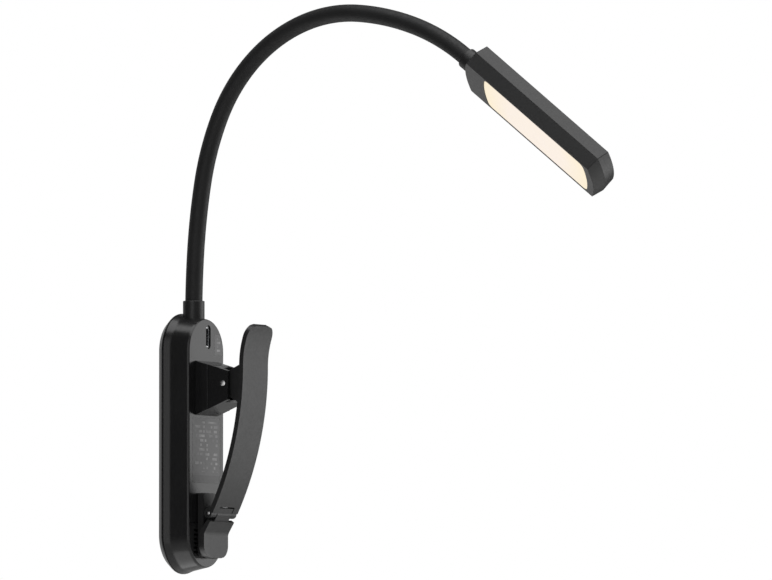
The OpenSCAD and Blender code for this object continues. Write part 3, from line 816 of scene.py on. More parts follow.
@dataclass
class Body:
    """The capsule-shaped housing with its labels, grip pad and socket."""

    wall: float = 1.6
    flare: float = 2.9
    edge_r: float = 0.5
    groove: float = 0.6
    seam_line: float = 0.2
    seam_depth: float = 0.35
    seam_gap: float = 0.15
    lip_r: float = 0.7
    front_r: float = 1.4
    chamfer: float = 34.0
    front_round: float = 3.4
    kink: float = 0.73
    kink_share: float = 0.61
    label_gap: float = 0.1
    label_corner: float = 0.7
    label_margin: float = 0.7
    arc_points: int = 49
    pad_rib: float = 2.0
    pad_rib_depth: float = 0.18
    half_w: float = field(init=False)
    mid_z: float = field(init=False)
    half_straight: float = field(init=False)
    seam_y: float = field(init=False)
    front_y: float = field(init=False)

    def __post_init__(self) -> None:
        """Reads the housing's size from the frame."""
        low, high = box_mm("rear_shell")
        front, _ = box_mm("front_cover")
        self.seam_y = float(-low[1])
        self.front_y = float(-front[1])
        self.half_w = float(high[0] - self.spread(np.array(self.seam_y - self.groove)))
        self.mid_z = float(low[2] + high[2]) / 2
        self.half_straight = float(high[2] - low[2]) / 2 - float(high[0])

    def spread(self, depth: Array) -> Array:
        """Flare at a depth: flare * a share that grows evenly to the kink, then faster to the seam."""
        share = np.maximum(depth, 0) / self.seam_y
        return self.flare * np.interp(share, [0, self.kink, 1], [0, self.kink_share, 1])

    def side(self, depth: Array) -> Array:
        """Half-width at a depth: that of the back face, and the flare there."""
        return self.half_w + self.spread(depth)

    def capsule(self, name: str, half: Array, depth: Array) -> bpy.types.Mesh:
        """Carries pairs of half-width and depth round a capsule outline.

        A point is (w cos a, -depth, middle + s * straight + w sin a), where s is 1 on the upper half circle
        and -1 on the lower.

        Args:
            name: name of the mesh.
            half: half-widths w, from one end of the profile to the other.
            depth: depth behind the back face at each of them.

        Returns:
            The mesh.
        """
        angle = np.concatenate([np.linspace(0, math.pi, self.arc_points),
                                np.linspace(math.pi, 2 * math.pi, self.arc_points)])
        shift = self.mid_z + np.repeat([self.half_straight, -self.half_straight], self.arc_points)
        w, d = half[:, None], depth[:, None]
        points = np.stack([w * np.cos(angle), -d + 0 * angle, shift + w * np.sin(angle)], axis=-1)
        return surface(name, points)

    def rear_shell(self, shop: Workshop) -> bpy.types.Object:
        """The back half: a rounded back edge, flared sides, the seam's groove and a wall back in.

        Args:
            shop: makes the pieces and keeps the finishes.

        Returns:
            The piece.
        """
        edge = arc((self.half_w - self.edge_r, self.edge_r), self.edge_r, -90, 0, 7)
        deep = np.linspace(self.edge_r + 0.4, self.seam_y - self.seam_line, 28)
        step = np.array([self.seam_y - self.seam_line, self.seam_y])
        inner = np.linspace(self.seam_y, self.wall, 10)
        groove_w = float(self.side(step[1:])[0]) - self.seam_depth
        half = np.concatenate([edge[:, 0], self.side(deep), [groove_w] * 2, self.side(inner) - self.wall])
        mesh = self.capsule("rear_shell", half, np.concatenate([edge[:, 1], deep, step, inner]))
        socket_low, socket_high = box_mm("socket_insert")
        socket_w = (socket_high[0] - socket_low[0]) / 2 + FIT
        tall = (socket_high[2] - socket_low[2]) / 2 + FIT
        outline = bowed_outline(-tall, tall, socket_w, socket_w + 0.02, socket_w - 0.15)
        centre = (socket_low + socket_high)[[0, 2]] / 2
        hole = slab("socket_hole", outline[:, ::-1] + centre, 1.0, -3.0)
        collar_low, collar_high = box_mm("base_collar")
        middle = (collar_low + collar_high) / 2
        collar_r = (collar_high[0] - collar_low[0]) / 2 + FIT
        side_line = np.array([[collar_r, collar_low[2] - 2], [collar_r, collar_high[2]]])
        collar = lathe("collar_hole", side_line, Axes.along((0, middle[1], 0), (0, 0, 1)))
        recess = slab("pad_recess", self.pad_outline(0.0), 1.0, -1.0)
        pockets = [self.film(node, self.label_gap, 1.0) for node in ("rating_label", "symbol_label")]
        mesh = combine(mesh, [hole, collar, recess, *pockets], Cut.REMOVE)
        return shop.piece(mesh, SHELL, ["rear_shell"], 0.12)

    def front_cover(self, shop: Workshop) -> bpy.types.Object:
        """The front half: a chamfer from the seam to the flat front, with both of its edges well rounded.

        Args:
            shop: makes the pieces and keeps the finishes.

        Returns:
            The piece.
        """
        seam = self.seam_y + self.seam_gap
        widest = float(self.side(np.array(self.seam_y)))
        lip = arc((widest - self.lip_r, seam + 0.35), self.lip_r, 0, self.chamfer, 7)
        front_at = (widest - self.front_round, self.front_y - self.front_r)
        front = arc(front_at, self.front_r, self.chamfer, 90, 11)
        outer_w = np.concatenate([[widest], lip[:, 0], front[:, 0]])
        outer_d = np.concatenate([[seam], lip[:, 1], front[:, 1]])
        inner_w = np.array([outer_w[-1], widest - 2.0, widest - 1.2, widest]) - self.wall
        inner_d = np.array([self.front_y - self.wall, self.front_y - self.wall, seam + 1.2, seam])
        half, depth = np.concatenate([inner_w, outer_w]), np.concatenate([inner_d, outer_d])
        mesh = self.capsule("front_cover", half, depth)
        return shop.piece(mesh, SHELL, ["front_cover"], 0.1)

    def pad_outline(self, inset: float) -> Array:
        """Outline of the grip pad in X and Z: the capsule's lower end, cut off by level lines.

        Args:
            inset: how far it is drawn in.

        Returns:
            The outline, N x 2.
        """
        low, high = box_mm("body_pad")
        base, top = low[2] - 0.1 + inset, high[2] + 0.1 - inset
        half = high[0] + 0.1 - inset
        centre = self.mid_z - self.half_straight
        lean = math.degrees(math.asin((centre - base) / half)) if centre - base < half else 90.0
        right = arc((0, centre), half, -lean, 0, 25)
        right = np.concatenate([right, [[half, top]]])
        return np.concatenate([right, right[::-1] * [-1, 1]])

    def grip_pad(self, shop: Workshop) -> bpy.types.Object:
        """The inset rubber pad that the jaw closes on, with shallow ribs moulded across it.

        Args:
            shop: makes the pieces and keeps the finishes.

        Returns:
            The piece.
        """
        low, high = box_mm("body_pad")
        mesh = slab("body_pad", self.pad_outline(0.1), float(low[1]), float(high[1]) - self.pad_rib_depth)
        rows = np.arange(low[2] + 1.6, high[2] - 0.8, self.pad_rib)
        ribs = []
        for z in rows:
            reach = float(high[0]) - 3.4
            outline = bowed_outline(-reach, reach, 0.55, 60.0, 0.5) + [0, z]
            ribs.append(slab("rib", outline, float(high[1]) - 0.5, float(high[1])))
        mesh = combine(mesh, ribs, Cut.ADD)
        return shop.piece(mesh, RUBBER, ["body_pad"], 0.06)

    def film(self, node: str, gap: float, top: float) -> bpy.types.Mesh:
        """A label's film, or the pocket round it: rounded corners, kept inside the back face's own outline.

        Args:
            node: the label.
            gap: how far it is let out.
            top: where its outer face lies along Y.

        Returns:
            The solid.
        """
        low, high = box_mm(node)
        centre, half = (low + high) / 2, (high - low) / 2 + gap
        outline = bowed_outline(-half[2], half[2], half[0], NEARLY_STRAIGHT, self.label_corner)
        outline = outline[:, ::-1] + centre[[0, 2]]
        round_r = self.half_w - self.label_margin + gap
        upper = arc((0, self.mid_z + self.half_straight), round_r, 0, 180, self.arc_points)
        lower = arc((0, self.mid_z - self.half_straight), round_r, 180, 360, self.arc_points)
        face = slab("face", np.concatenate([upper, lower]), float(low[1]) - 2, top + 1)
        return combine(slab(node, outline, float(low[1]), top), [face], Cut.KEEP)

    def labels(self, shop: Workshop) -> list[bpy.types.Object]:
        """The rating label and the small symbol label: thin films in their pockets, with plain dashes.

        Args:
            shop: makes the pieces and keeps the finishes.

        Returns:
            The pieces.
        """
        made = []
        for node, row, fill, band in (("rating_label", 2.1, 0.4, 3.6), ("symbol_label", 1.8, 0.6, 0.0)):
            low, high = box_mm(node)
            centre, half = (low + high) / 2, (high - low) / 2
            mesh = self.film(node, 0.0, -0.01)
            film = Label(node + "_film", (0.075, 0.075, 0.076), (0.36, 0.36, 0.36), row, fill, low[2] + band,
                         (float(centre[0]), float(centre[2] + band / 2)),
                         (float(half[0] - 2.2), float(half[2] - band / 2 - 1.6)))
            made.append(shop.piece(mesh, film, [node]))
        return made

    def build(self, shop: Workshop) -> None:
        """Makes every piece of the body and dresses what it holds.

        Args:
            shop: makes the pieces and keeps the finishes.
        """
        for obj in (self.rear_shell(shop), self.front_cover(shop), self.grip_pad(shop), *self.labels(shop)):
            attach(obj, "body")
        shop.dress(SHELL, "socket_insert")
        shop.dress(PLATED, "socket_shell")
        shop.dress(ZINC, "housing_screws", "bracket_screws")
        shop.dress(CELL, "battery_pack")
        shop.dress(GREEN_BOARD, "main_board")
        shop.dress(BRASS, "touch_electrode")


# ---------- clip ----------

def ribbon(name: str, path: Array, half_w: Array, thick: Array, columns: int = 9) -> bpy.types.Mesh:
    """A plate bent along a path in Y and Z: middle + x across + half its thickness * normal, on both faces.

    Args:
        name: name of the mesh.
        path: M x 2 points of its middle line, in millimetres.
        half_w: half-width at each of them.
        thick: thickness at each of them, or one for all.
        columns: points across each face.

    Returns:
        The mesh.
    """
    along = np.gradient(path, axis=0)
    along /= np.linalg.norm(along, axis=1, keepdims=True)
    normal = np.stack([along[:, 1], -along[:, 0]], axis=1)
    share = np.linspace(-1, 1, columns)
    x = half_w[:, None] * np.concatenate([share, share[::-1]])
    side = np.repeat([0.5, -0.5], columns) * np.broadcast_to(thick, len(path))[:, None]
    yz = path[:, None] + side[..., None] * normal[:, None]
    return surface(name, np.concatenate([x[..., None], yz], axis=-1))


def rounded_width(distance: Array, half_w: float, corner: float) -> Array:
    """Half-width of a plate near its round-cornered end: half_w - c + sqrt(c^2 - (c - d)^2).

    Args:
        distance: distances d from the end.
        half_w: half of the plate's width.
        corner: radius c of its corners.

    Returns:
        The half-width at each distance.
    """
    into = np.clip(corner - distance, 0, corner)
    return half_w - corner + np.sqrt(np.maximum(corner ** 2 - into ** 2, 0))


def hull_to_round(centre: Array, radius: float, far: Array) -> Array:
    """Outline round a circle and a line's two ends: both ends, then the arc between the tangents from them.

    A tangent from a point at distance d touches the circle at acos(radius / d) from the line to that point.

    Args:
        centre: centre of the circle.
        radius: its radius.
        far: the two ends, 2 x 2, in the order that leaves the circle on their left.

    Returns:
        The outline, N x 2.
    """
    gap = far - centre
    away = np.degrees(np.arctan2(gap[:, 1], gap[:, 0]))
    touch = np.degrees(np.arccos(radius / np.linalg.norm(gap, axis=1)))
    start, stop = away[1] + touch[1], away[0] - touch[0]
    return np.concatenate([far, arc(centre, radius, start, stop + 360 if stop < start else stop, 33)])


@dataclass
class Clip:
    """The bracket, the sprung lever with its pin, and the hinged foot with its pad."""

    plate: float = 2.2
    lever_corner: float = 5.5
    flare_r: float = 42.0
    arc_rise: float = 8.0
    foot_plate: float = 2.7
    foot_slant: float = 1.7
    foot_corner: float = 6.0
    foot_bend_z: float = 4.6
    tongue: float = 11.8
    barrel_r: float = 2.1
    nose_r: float = 4.6
    cheek: float = 2.0
    spring_r: float = 2.6
    wire_r: float = 0.48
    turns: int = 4
    coil_half: float = 2.3
    leg_foot: float = 8.4
    leg_reach: float = 8.6
    block: float = 6.6
    low_slope: float = 0.39
    high_slope: float = 0.29
    ear_inset: float = 0.4
    ear_wall: float = 2.4
    cheek_gap: float = 0.2
    fork_gap: float = 0.4
    pin_hole: float = 1.34
    lever_hole: float = 1.35
    jaw_hole: float = 1.02
    foot_hole: float = 1.05
    pad_corner: float = 1.2
    pin: Array = field(init=False)
    jaw: Array = field(init=False)

    def __post_init__(self) -> None:
        """Reads both pivots from the frame, in Y and Z."""
        self.pin = joint_mm("clip_open")[0][1:]
        self.jaw = joint_mm("jaw_swivel")[0][1:]

    def bracket(self, shop: Workshop) -> bpy.types.Object:
        """The bracket: a wedge-sided base, two ears round a slot, and the pin's bore.

        Args:
            shop: makes the pieces and keeps the finishes.

        Returns:
            The piece.
        """
        low, high = box_mm("clip_bracket")
        half, ear_half = float(high[0]), float(high[0]) - self.ear_inset
        y_end = float(high[1])
        z_low, z_high = float(low[2]), float(high[2])

        def edge(y: float) -> tuple[float, float]:
            """Lower and upper edge of the bracket at a distance y from the back face."""
            return z_low + self.low_slope * y, z_high - self.high_slope * y

        def part(y0: float, y1: float) -> Array:
            """Outline of the bracket between two distances from the back face."""
            (a, b), (c, d) = edge(y0), edge(y1)
            return np.array([[y0, a], [y1, c], [y1, d], [y0, b]])

        base = prism("clip_bracket", part(0.0, self.block), -half, half)
        ears = prism("ears", part(self.block - 1.0, y_end), -ear_half, ear_half)
        slot_half = ear_half - self.ear_wall
        floor_low, pin_low = edge(self.block)[0], edge(float(self.pin[0]))[0]
        slot_y, beyond, below, above = self.block + 1.4, y_end + 2, pin_low - 3, z_high + 6
        slot = np.array([[slot_y, floor_low + 2.6], [self.pin[0], pin_low + 1.4], [self.pin[0], below],
                         [beyond, below], [beyond, above], [slot_y, above]])
        cuts = [prism("slot", slot, -slot_half, slot_half), bore(self.pin_hole, half + 1, self.pin)]
        mesh = combine(combine(base, [ears], Cut.ADD), cuts, Cut.REMOVE)
        return shop.piece(mesh, SHELL, ["clip_bracket"], 0.28)

    def pins(self, shop: Workshop) -> list[tuple[bpy.types.Object, str]]:
        """The hinge pin and the jaw pin: turned bars whose ends are domed, end - 0.4 (r / radius) ^ 2.

        Args:
            shop: makes the pieces and keeps the finishes.

        Returns:
            The pieces, each with the body that it rides on.
        """
        made = []
        for node, body in (("hinge_pin", "body"), ("jaw_pin", "lever")):
            low, high = box_mm(node)
            radius, end = float(high[2] - low[2]) / 2, float(high[0])
            out = np.linspace(1, 0.03, 14)
            top = np.stack([radius * out, end - 0.4 * out ** 2], axis=1)
            profile = np.concatenate([top[::-1] * [1, -1], top])
            middle = (low + high) / 2
            mesh = lathe(node, profile, Axes.along((0, middle[1], middle[2]), (1, 0, 0)), 48)
            made.append((shop.piece(mesh, BRIGHT, [node]), body))
        return made

    def spring(self, shop: Workshop) -> bpy.types.Object:
        """The torsion spring: a helix (x, y0 + r sin a, z0 + r cos a) with a straight leg at each end.

        Args:
            shop: makes the pieces and keeps the finishes.

        Returns:
            The piece.
        """
        y0, z0 = self.pin
        lever_in = float(box_mm("clip_lever")[1][1])
        angle = np.linspace(0, 2 * math.pi * self.turns, 48 * self.turns + 1)
        x = self.coil_half * (angle / angle[-1] * 2 - 1)
        coil = np.stack([x, y0 + self.spring_r * np.sin(angle), z0 + self.spring_r * np.cos(angle)], axis=1)
        leg = np.linspace(1, 0.02, 10)[:, None]
        first = coil[:1] - leg * [0, y0 - self.leg_foot, 0]
        last = coil[-1:] + leg[::-1] * [0, self.leg_reach, 0]
        reach = min(last[-1, 1], lever_in - self.plate - 0.6)
        last[:, 1] = np.linspace(coil[-1, 1] + 0.2, reach, 10)
        mesh = tube("torsion_spring", np.concatenate([first, coil, last]), self.wire_r)
        return shop.piece(mesh, WIRE, ["torsion_spring"])

    def lever_path(self) -> Array:
        """Middle line of the lever: a short reversed arc above, and one long arc down to the jaw's pivot.

        The long arc's radius follows from its drop: (dy^2 + dz^2) / (2 dy).
        """
        high = box_mm("clip_lever")[1]
        arc_z = float(self.pin[1]) + self.arc_rise
        face_y = self.level_y
        drop_y, drop_z = face_y - (self.jaw[0] + 2.6), arc_z - self.jaw[1]
        radius = (drop_y ** 2 + drop_z ** 2) / (2 * drop_y)
        reach = math.degrees(math.asin(drop_z / radius))
        lower = arc((face_y - radius, arc_z), radius - self.plate / 2, -reach, 0, 60)
        rise = math.degrees(math.asin((float(high[2]) - arc_z) / (self.flare_r + self.plate / 2)))
        upper = arc((face_y + self.flare_r, arc_z), self.flare_r + self.plate / 2, 180, 180 - rise, 30)[1:]
        return np.concatenate([lower, upper])

    @property
    def level_y(self) -> float:
        """Distance of the lever's outer face from the back face where its two arcs meet."""
        high = box_mm("clip_lever")[1]
        rise = high[2] - self.pin[1] - self.arc_rise
        bow = self.flare_r - math.sqrt(self.flare_r ** 2 - rise ** 2)
        return float(high[1] - bow)

    def lever(self, shop: Workshop) -> bpy.types.Object:
        """The lever: the bent plate, two cheeks to the pin, a fork with two barrels, and both bores.

        Args:
            shop: makes the pieces and keeps the finishes.

        Returns:
            The piece.
        """
        high = box_mm("clip_lever")[1]
        half = float(high[0])
        path = self.lever_path()
        mesh = ribbon("clip_lever", path, rounded_width(high[2] - path[:, 1], half, self.lever_corner),
                      np.array(self.plate))
        inner = self.level_y - self.plate - 0.2
        far = np.array([[inner, self.pin[1] - 10.0], [inner, self.pin[1] + 9.6]])
        cheek = hull_to_round(self.pin, self.nose_r, far)
        out = float(box_mm("clip_bracket")[1][0]) - self.ear_inset - self.ear_wall - self.cheek_gap
        fork = (self.tongue + self.fork_gap) / 2
        round_end = hull_to_round(self.jaw, self.barrel_r, self.jaw + [[2.4, 2.2], [0.6, 3.4]])
        added = [prism("cheek", cheek, s * out, s * (out - self.cheek)) for s in (-1, 1)]
        added += [prism("barrel", round_end, s * fork, s * (half - 0.02)) for s in (-1, 1)]
        mesh = combine(mesh, added, Cut.ADD)
        y, z = self.jaw
        gap = rectangle(y - 6, y + 6, z - 8, z + 2.9)
        under = rectangle(y - 4.6, y + 7.4, z - 7, z - 2.4)
        bores = [bore(self.lever_hole, half + 2, self.pin), bore(self.jaw_hole, half + 2, self.jaw)]
        removed = [prism("gap", gap, -fork, fork), prism("under", under, -half - 1, half + 1), *bores]
        return shop.piece(combine(mesh, removed, Cut.REMOVE), SATIN, ["clip_lever"], 0.15)

    def foot(self, shop: Workshop) -> bpy.types.Object:
        """The hinged foot: a plate that bends out to the pivot, its tongue, and the backing of the pad.

        Args:
            shop: makes the pieces and keeps the finishes.

        Returns:
            The piece.
        """
        low, high = box_mm("jaw_foot")
        half = float(high[0])
        y_in = float(box_mm("jaw_pad")[1][1])
        y_mid = y_in + self.foot_plate / 2
        top = self.jaw + [0.35, -3.3]
        upright = np.stack([np.full(24, y_mid), np.linspace(low[2], self.foot_bend_z - 1.2, 24)], axis=1)
        start, corner = upright[-1], np.array([y_mid, self.foot_bend_z])
        share = np.linspace(0, 1, 9)[1:, None]
        beyond = corner + (top - corner) * 0.3
        bend = (1 - share) ** 2 * start + 2 * share * (1 - share) * corner + share ** 2 * beyond
        slant = beyond + (top - beyond) * np.linspace(0, 1, 8)[1:, None]
        path = np.concatenate([upright, bend, slant])
        share = np.clip((path[:, 1] - self.foot_bend_z) / (top[1] - self.foot_bend_z), 0, 1)
        thick = self.foot_plate + (self.foot_slant - self.foot_plate) * share
        mesh = ribbon("jaw_foot", path, rounded_width(path[:, 1] - low[2], half, self.foot_corner), thick)
        far = np.array([[y_mid + 0.9, self.foot_bend_z], [y_mid - 0.9, self.foot_bend_z]])
        tongue = hull_to_round(self.jaw, self.barrel_r + 0.2, far[::-1])
        pad_low, pad_high = box_mm("jaw_pad")
        middle = (pad_low + pad_high)[2] / 2
        tall = pad_high[2] - middle
        backing = bowed_outline(-tall, tall, pad_high[0], NEARLY_STRAIGHT, self.pad_corner)
        back = slab("backing", backing[:, ::-1] + [0, middle], y_in, y_in + 0.9)
        cap = hull_to_round(self.jaw, self.barrel_r, self.jaw + [[3.55, 2.3], [2.4, 2.8]])
        tongues = [prism("tongue", outline, -self.tongue / 2, self.tongue / 2) for outline in (tongue, cap)]
        mesh = combine(mesh, [*tongues, back], Cut.ADD)
        mesh = combine(mesh, [bore(self.foot_hole, half, self.jaw)], Cut.REMOVE)
        return shop.piece(mesh, SATIN, ["jaw_foot"], 0.15)

    def pad(self, shop: Workshop) -> bpy.types.Object:
        """The jaw's rubber pad, with ribs across the face that grips.

        Args:
            shop: makes the pieces and keeps the finishes.

        Returns:
            The piece.
        """
        low, high = box_mm("jaw_pad")
        centre, half = (low + high) / 2, (high - low) / 2
        outline = bowed_outline(-half[2], half[2], half[0], NEARLY_STRAIGHT, self.pad_corner)
        outline = outline[:, ::-1] + centre[[0, 2]]
        mesh = slab("jaw_pad", outline, float(low[1]) + 0.3, float(high[1]))
        ribs = []
        for z in np.arange(low[2] + 1.6, high[2] - 1.0, 2.2):
            rib = bowed_outline(-half[0] + 1.2, half[0] - 1.2, 0.6, 80.0, 0.5) + [0, z]
            ribs.append(slab("rib", rib, float(low[1]), float(low[1]) + 1.0))
        return shop.piece(combine(mesh, ribs, Cut.ADD), RUBBER, ["jaw_pad"], 0.15)

    def build(self, shop: Workshop) -> None:
        """Makes every piece of the clip.

        Args:
            shop: makes the pieces and keeps the finishes.
        """
        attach(self.bracket(shop), "body")
        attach(self.spring(shop), "body")
        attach(self.lever(shop), "lever")
        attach(self.foot(shop), "jaw")
        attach(self.pad(shop), "jaw")
        for obj, body in self.pins(shop):
            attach(obj, body)


# ---------- gooseneck ----------

@dataclass
class Gooseneck:
    """The sleeve over the neck's links, and the collar at its foot."""

    links: int = 8
    rows: int = 22
    sides: int = 48
    lining: float = 1.2
    hold: float = 0.45
    points: Array = field(init=False)
    headings: Array = field(init=False)
    radius: float = field(init=False)

    def __post_init__(self) -> None:
        """Reads the links' ends from the joints, and works out the heading at each.

        A link is an arc, so the heading at its end is twice its chord's direction less the one at its start.
        """
        low, high = box_mm("neck_sleeve_1")
        self.radius = float(high[0])
        collar_low, collar_high = box_mm("base_collar")
        start = np.array([(collar_low[1] + collar_high[1]) / 2, low[2]])
        kinds = ("neck_bend", "neck_sway")
        names = [kinds[i % 2] + ("" if i < 2 else f"_{i // 2 + 1}") for i in range(self.links - 1)]
        self.points = np.stack([start, *(joint_mm(name)[0][1:] for name in (*names, "head_turn"))])
        chords = np.diff(self.points, axis=0)
        lean = np.arctan2(chords[:, 0], chords[:, 1])
        turns = [0.0]
        for chord in lean:
            turns.append(2 * chord - turns[-1])
        self.headings = np.array(turns)

    def along(self, place: Array) -> tuple[Array, Array]:
        """Points of the centre line in Y and Z, and headings, at places counted in links from the foot.

        Within a link the heading a grows evenly from a0, and the point is
        start + R * (cos a0 - cos a, sin a - sin a0).

        Args:
            place: places along the neck, where 0 is its foot and each link adds 1.

        Returns:
            The points, N x 2, and the heading at each, in radians from straight up.
        """
        link = np.clip(np.floor(place).astype(int), 0, self.links - 1)
        share = place - link
        a0, a1 = self.headings[link], self.headings[link + 1]
        chord = np.linalg.norm(self.points[link + 1] - self.points[link], axis=1)
        bend_r = chord / (2 * np.sin((a1 - a0) / 2))
        angle = a0 + (a1 - a0) * share
        turn = np.stack([np.cos(a0) - np.cos(angle), np.sin(angle) - np.sin(a0)], axis=1)
        return self.points[link] + bend_r[:, None] * turn, angle

    def length(self, start: float, stop: float, name: str) -> bpy.types.Mesh:
        """A length of sleeve: an outer and an inner skin round the centre line, joined at both ends.

        Args:
            start: where it starts, counted in links.
            stop: where it ends.
            name: name of the mesh.

        Returns:
            The mesh.
        """
        place = np.linspace(start, stop, max(2, round((stop - start) * self.rows)))
        yz, angle = self.along(place)
        turn = np.linspace(0, 2 * math.pi, self.sides, endpoint=False)
        outward = np.stack([np.cos(angle), -np.sin(angle)], axis=1)
        skins = []
        for radius in (self.radius, self.radius - self.lining):
            x = radius * np.cos(turn)[None, :] + 0 * angle[:, None]
            ring = yz[:, None] + radius * np.sin(turn)[None, :, None] * outward[:, None]
            skins.append(np.concatenate([x[..., None], ring], axis=-1))
        return surface(name, np.concatenate([skins[0], skins[1][::-1]]), wrap_rows=True)

    def sleeve(self, shop: Workshop) -> None:
        """Makes one length of sleeve over each joint, shaped along the two links that the joint holds.

        Args:
            shop: makes the pieces and keeps the finishes.
        """
        for joint in range(1, self.links):
            first, last = joint == 1, joint == self.links - 1
            start = 0.0 if first else joint - 0.5
            stop = float(self.links) if last else joint + 0.5
            nodes = [f"neck_sleeve_{joint}"] + ([f"neck_sleeve_{self.links}"] if last else [])
            mesh = self.length(start, stop, f"neck_sleeve_{joint}_over_joint")
            obj = shop.piece(mesh, SLEEVE, nodes)
            ends, _ = self.along(np.array([joint - self.hold, joint + self.hold]))
            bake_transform(obj)

    def base_collar(self, shop: Workshop) -> bpy.types.Object:
        """The collar at the neck's foot: a turned ring with a chamfered mouth.

        Args:
            shop: makes the pieces and keeps the finishes.

        Returns:
            The piece.
        """
        low, high = box_mm("base_collar")
        middle = (low + high) / 2
        outer, inner = float(high[0]), self.radius + 0.1
        top, foot = float(high[2]), float(low[2])
        seat = float(self.points[0][1])
        rim = arc((outer - 0.45, top - 0.45), 0.45, 0, 90, 7)
        mouth = arc((inner + 0.2, top - 0.2), 0.2, 90, 180, 5)
        profile = np.concatenate([[[outer, foot]], rim, mouth, [[inner, seat], [2.4, seat], [2.4, foot]]])
        mesh = lathe("base_collar", profile, Axes.along((0, middle[1], 0), (0, 0, 1)), 96, hollow=True)
        return shop.piece(mesh, COLLAR, ["base_collar"])

    def build(self, shop: Workshop) -> None:
        """Makes the sleeve and collar, and dresses the metal inside.

        Args:
            shop: makes the pieces and keeps the finishes.
        """
        self.sleeve(shop)
        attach(self.base_collar(shop), "body")
        shop.dress(STEEL, *(f"neck_core_{i}" for i in range(1, self.links + 1)), "neck_nut")


# ---------- head ----------

@dataclass
class Head:
    """The flat LED head: two bevelled shells, the opal lens and the collar on the neck."""

    length: float = 87.0
    start: float = 6.0
    half_w: float = 13.7
    half_t: float = 6.45
    bevel: float = 1.9
    end_bevel: float = 0.855
    bow: float = 2.7
    wall: float = 1.5
    corner: float = 0.35
    twist: float = 36.5
    lens_start: float = 13.2
    lens_end: float = 4.9
    lens_corner: float = 3.0
    lens_gap: float = 0.1
    axes: Axes = field(init=False)

    def __post_init__(self) -> None:
        """Sets the head's axes: X along the neck's end, and Z out of the upper face, turned by the twist."""
        place, along = joint_mm("head_turn")
        level = np.array([-1.0, 0, 0])
        up = np.cross(along, level)
        turn = math.radians(-self.twist)
        y = math.cos(turn) * level + math.sin(turn) * up
        z = math.cos(turn) * up - math.sin(turn) * level
        self.axes = Axes(place, np.stack([along, y, z]))

    @property
    def end_r(self) -> float:
        """Radius of the bowed ends: (w^2 + bow^2) / (2 bow)."""
        return (self.half_w ** 2 + self.bow ** 2) / (2 * self.bow)

    def ring(self, height: float, inset: float = 0.0) -> Array:
        """The head's outline at a height, narrower and shorter away from the middle plane.

        Args:
            height: height above the middle plane.
            inset: how far it is drawn in.

        Returns:
            The ring, N x 3, in the head's own axes.
        """
        share = abs(height) / self.half_t
        half = self.half_w - self.bevel * share - inset
        back = self.end_bevel * share + inset
        outline = bowed_outline(self.start + back, self.start + self.length - back, half, self.end_r - back,
                                self.corner)
        return np.insert(outline, 2, height, axis=1)

    def lens_ring(self, height: float, inset: float) -> Array:
        """The lens's outline at a height.

        Args:
            height: height above the head's middle plane.
            inset: how far it is drawn in.

        Returns:
            The ring, N x 3, in the head's own axes.
        """
        x0 = self.start + self.lens_start + inset
        x1 = self.start + self.length - self.lens_end - inset
        half = (self.half_w - self.bevel) * 0.94 - inset
        outline = bowed_outline(x0, x1, half, self.end_r, self.lens_corner - inset)
        return np.insert(outline, 2, height, axis=1)

    def shells(self, shop: Workshop) -> list[bpy.types.Object]:
        """The upper shell, and the lower frame round the lens, as rings that run out, over and back in.

        Args:
            shop: makes the pieces and keeps the finishes.

        Returns:
            The pieces.
        """
        seam, floor = 0.04, self.half_t - self.wall
        top = np.stack([self.ring(self.half_t), self.ring(seam), self.ring(seam, self.wall),
                        self.ring(floor, self.wall)])
        low = np.stack([self.ring(-seam), self.ring(-self.half_t), self.lens_ring(-self.half_t, 0.0),
                        self.lens_ring(-floor, 0.0), self.ring(-floor, self.wall),
                        self.ring(-seam, self.wall)])
        upper = surface("head_top", self.axes.place(top))
        lower = surface("head_frame", self.axes.place(low), wrap_rows=True)
        return [shop.piece(upper, HEAD, ["head_top"], 0.25),
                shop.piece(lower, HEAD, ["head_frame"], 0.22)]

    def lens(self, shop: Workshop) -> bpy.types.Object:
        """The opal lens, set just inside the frame, with a softened rim.

        Args:
            shop: makes the pieces and keeps the finishes.

        Returns:
            The piece.
        """
        deep, face = -self.half_t + 1.75, -self.half_t + 0.15
        rings = [self.lens_ring(deep, self.lens_gap), self.lens_ring(face + 0.3, self.lens_gap),
                 self.lens_ring(face + 0.09, self.lens_gap + 0.09), self.lens_ring(face, self.lens_gap + 0.3)]
        low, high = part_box("lens")
        glow = Glow("lit_opal", colour=(0.9, 0.8, 0.715), rim=(0.92, 0.8, 0.55), strength=0.97,
                    centre=(low + high) / 2, reach=(high - low).length / 2)
        mesh = surface("lens", self.axes.place(np.stack(rings)))
        return shop.piece(mesh, glow, ["lens"])

    def collar(self, shop: Workshop) -> bpy.types.Object:
        """The collar between neck and head: a turned ring with rounded mouths.

        Args:
            shop: makes the pieces and keeps the finishes.

        Returns:
            The piece.
        """
        radius, foot, top = 5.0, 0.3, self.start + 2.9
        rim = arc((radius - 0.5, foot + 0.5), 0.5, -90, 0, 7)
        profile = np.concatenate([[[2.4, foot]], rim, [[radius, top], [2.4, top]]])
        axes = Axes.along(self.axes.origin, self.axes.rows[0])
        return shop.piece(lathe("head_collar", profile, axes, 96, hollow=True), COLLAR,
                          ["head_collar"])

    def build(self, shop: Workshop) -> None:
        """Makes every piece of the head and dresses what it holds.

        Args:
            shop: makes the pieces and keeps the finishes.
        """
        for obj in (*self.shells(shop), self.lens(shop), self.collar(shop)):
            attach(obj, "head")
        shop.dress(TRAY, "led_tray")
        shop.dress(WHITE_BOARD, "led_board")
        shop.dress(CHIP, "led_chips")
        shop.dress(ZINC, "head_screws")
        shop.dress(STEEL, "head_lock_ring")


# ---------- studio ----------

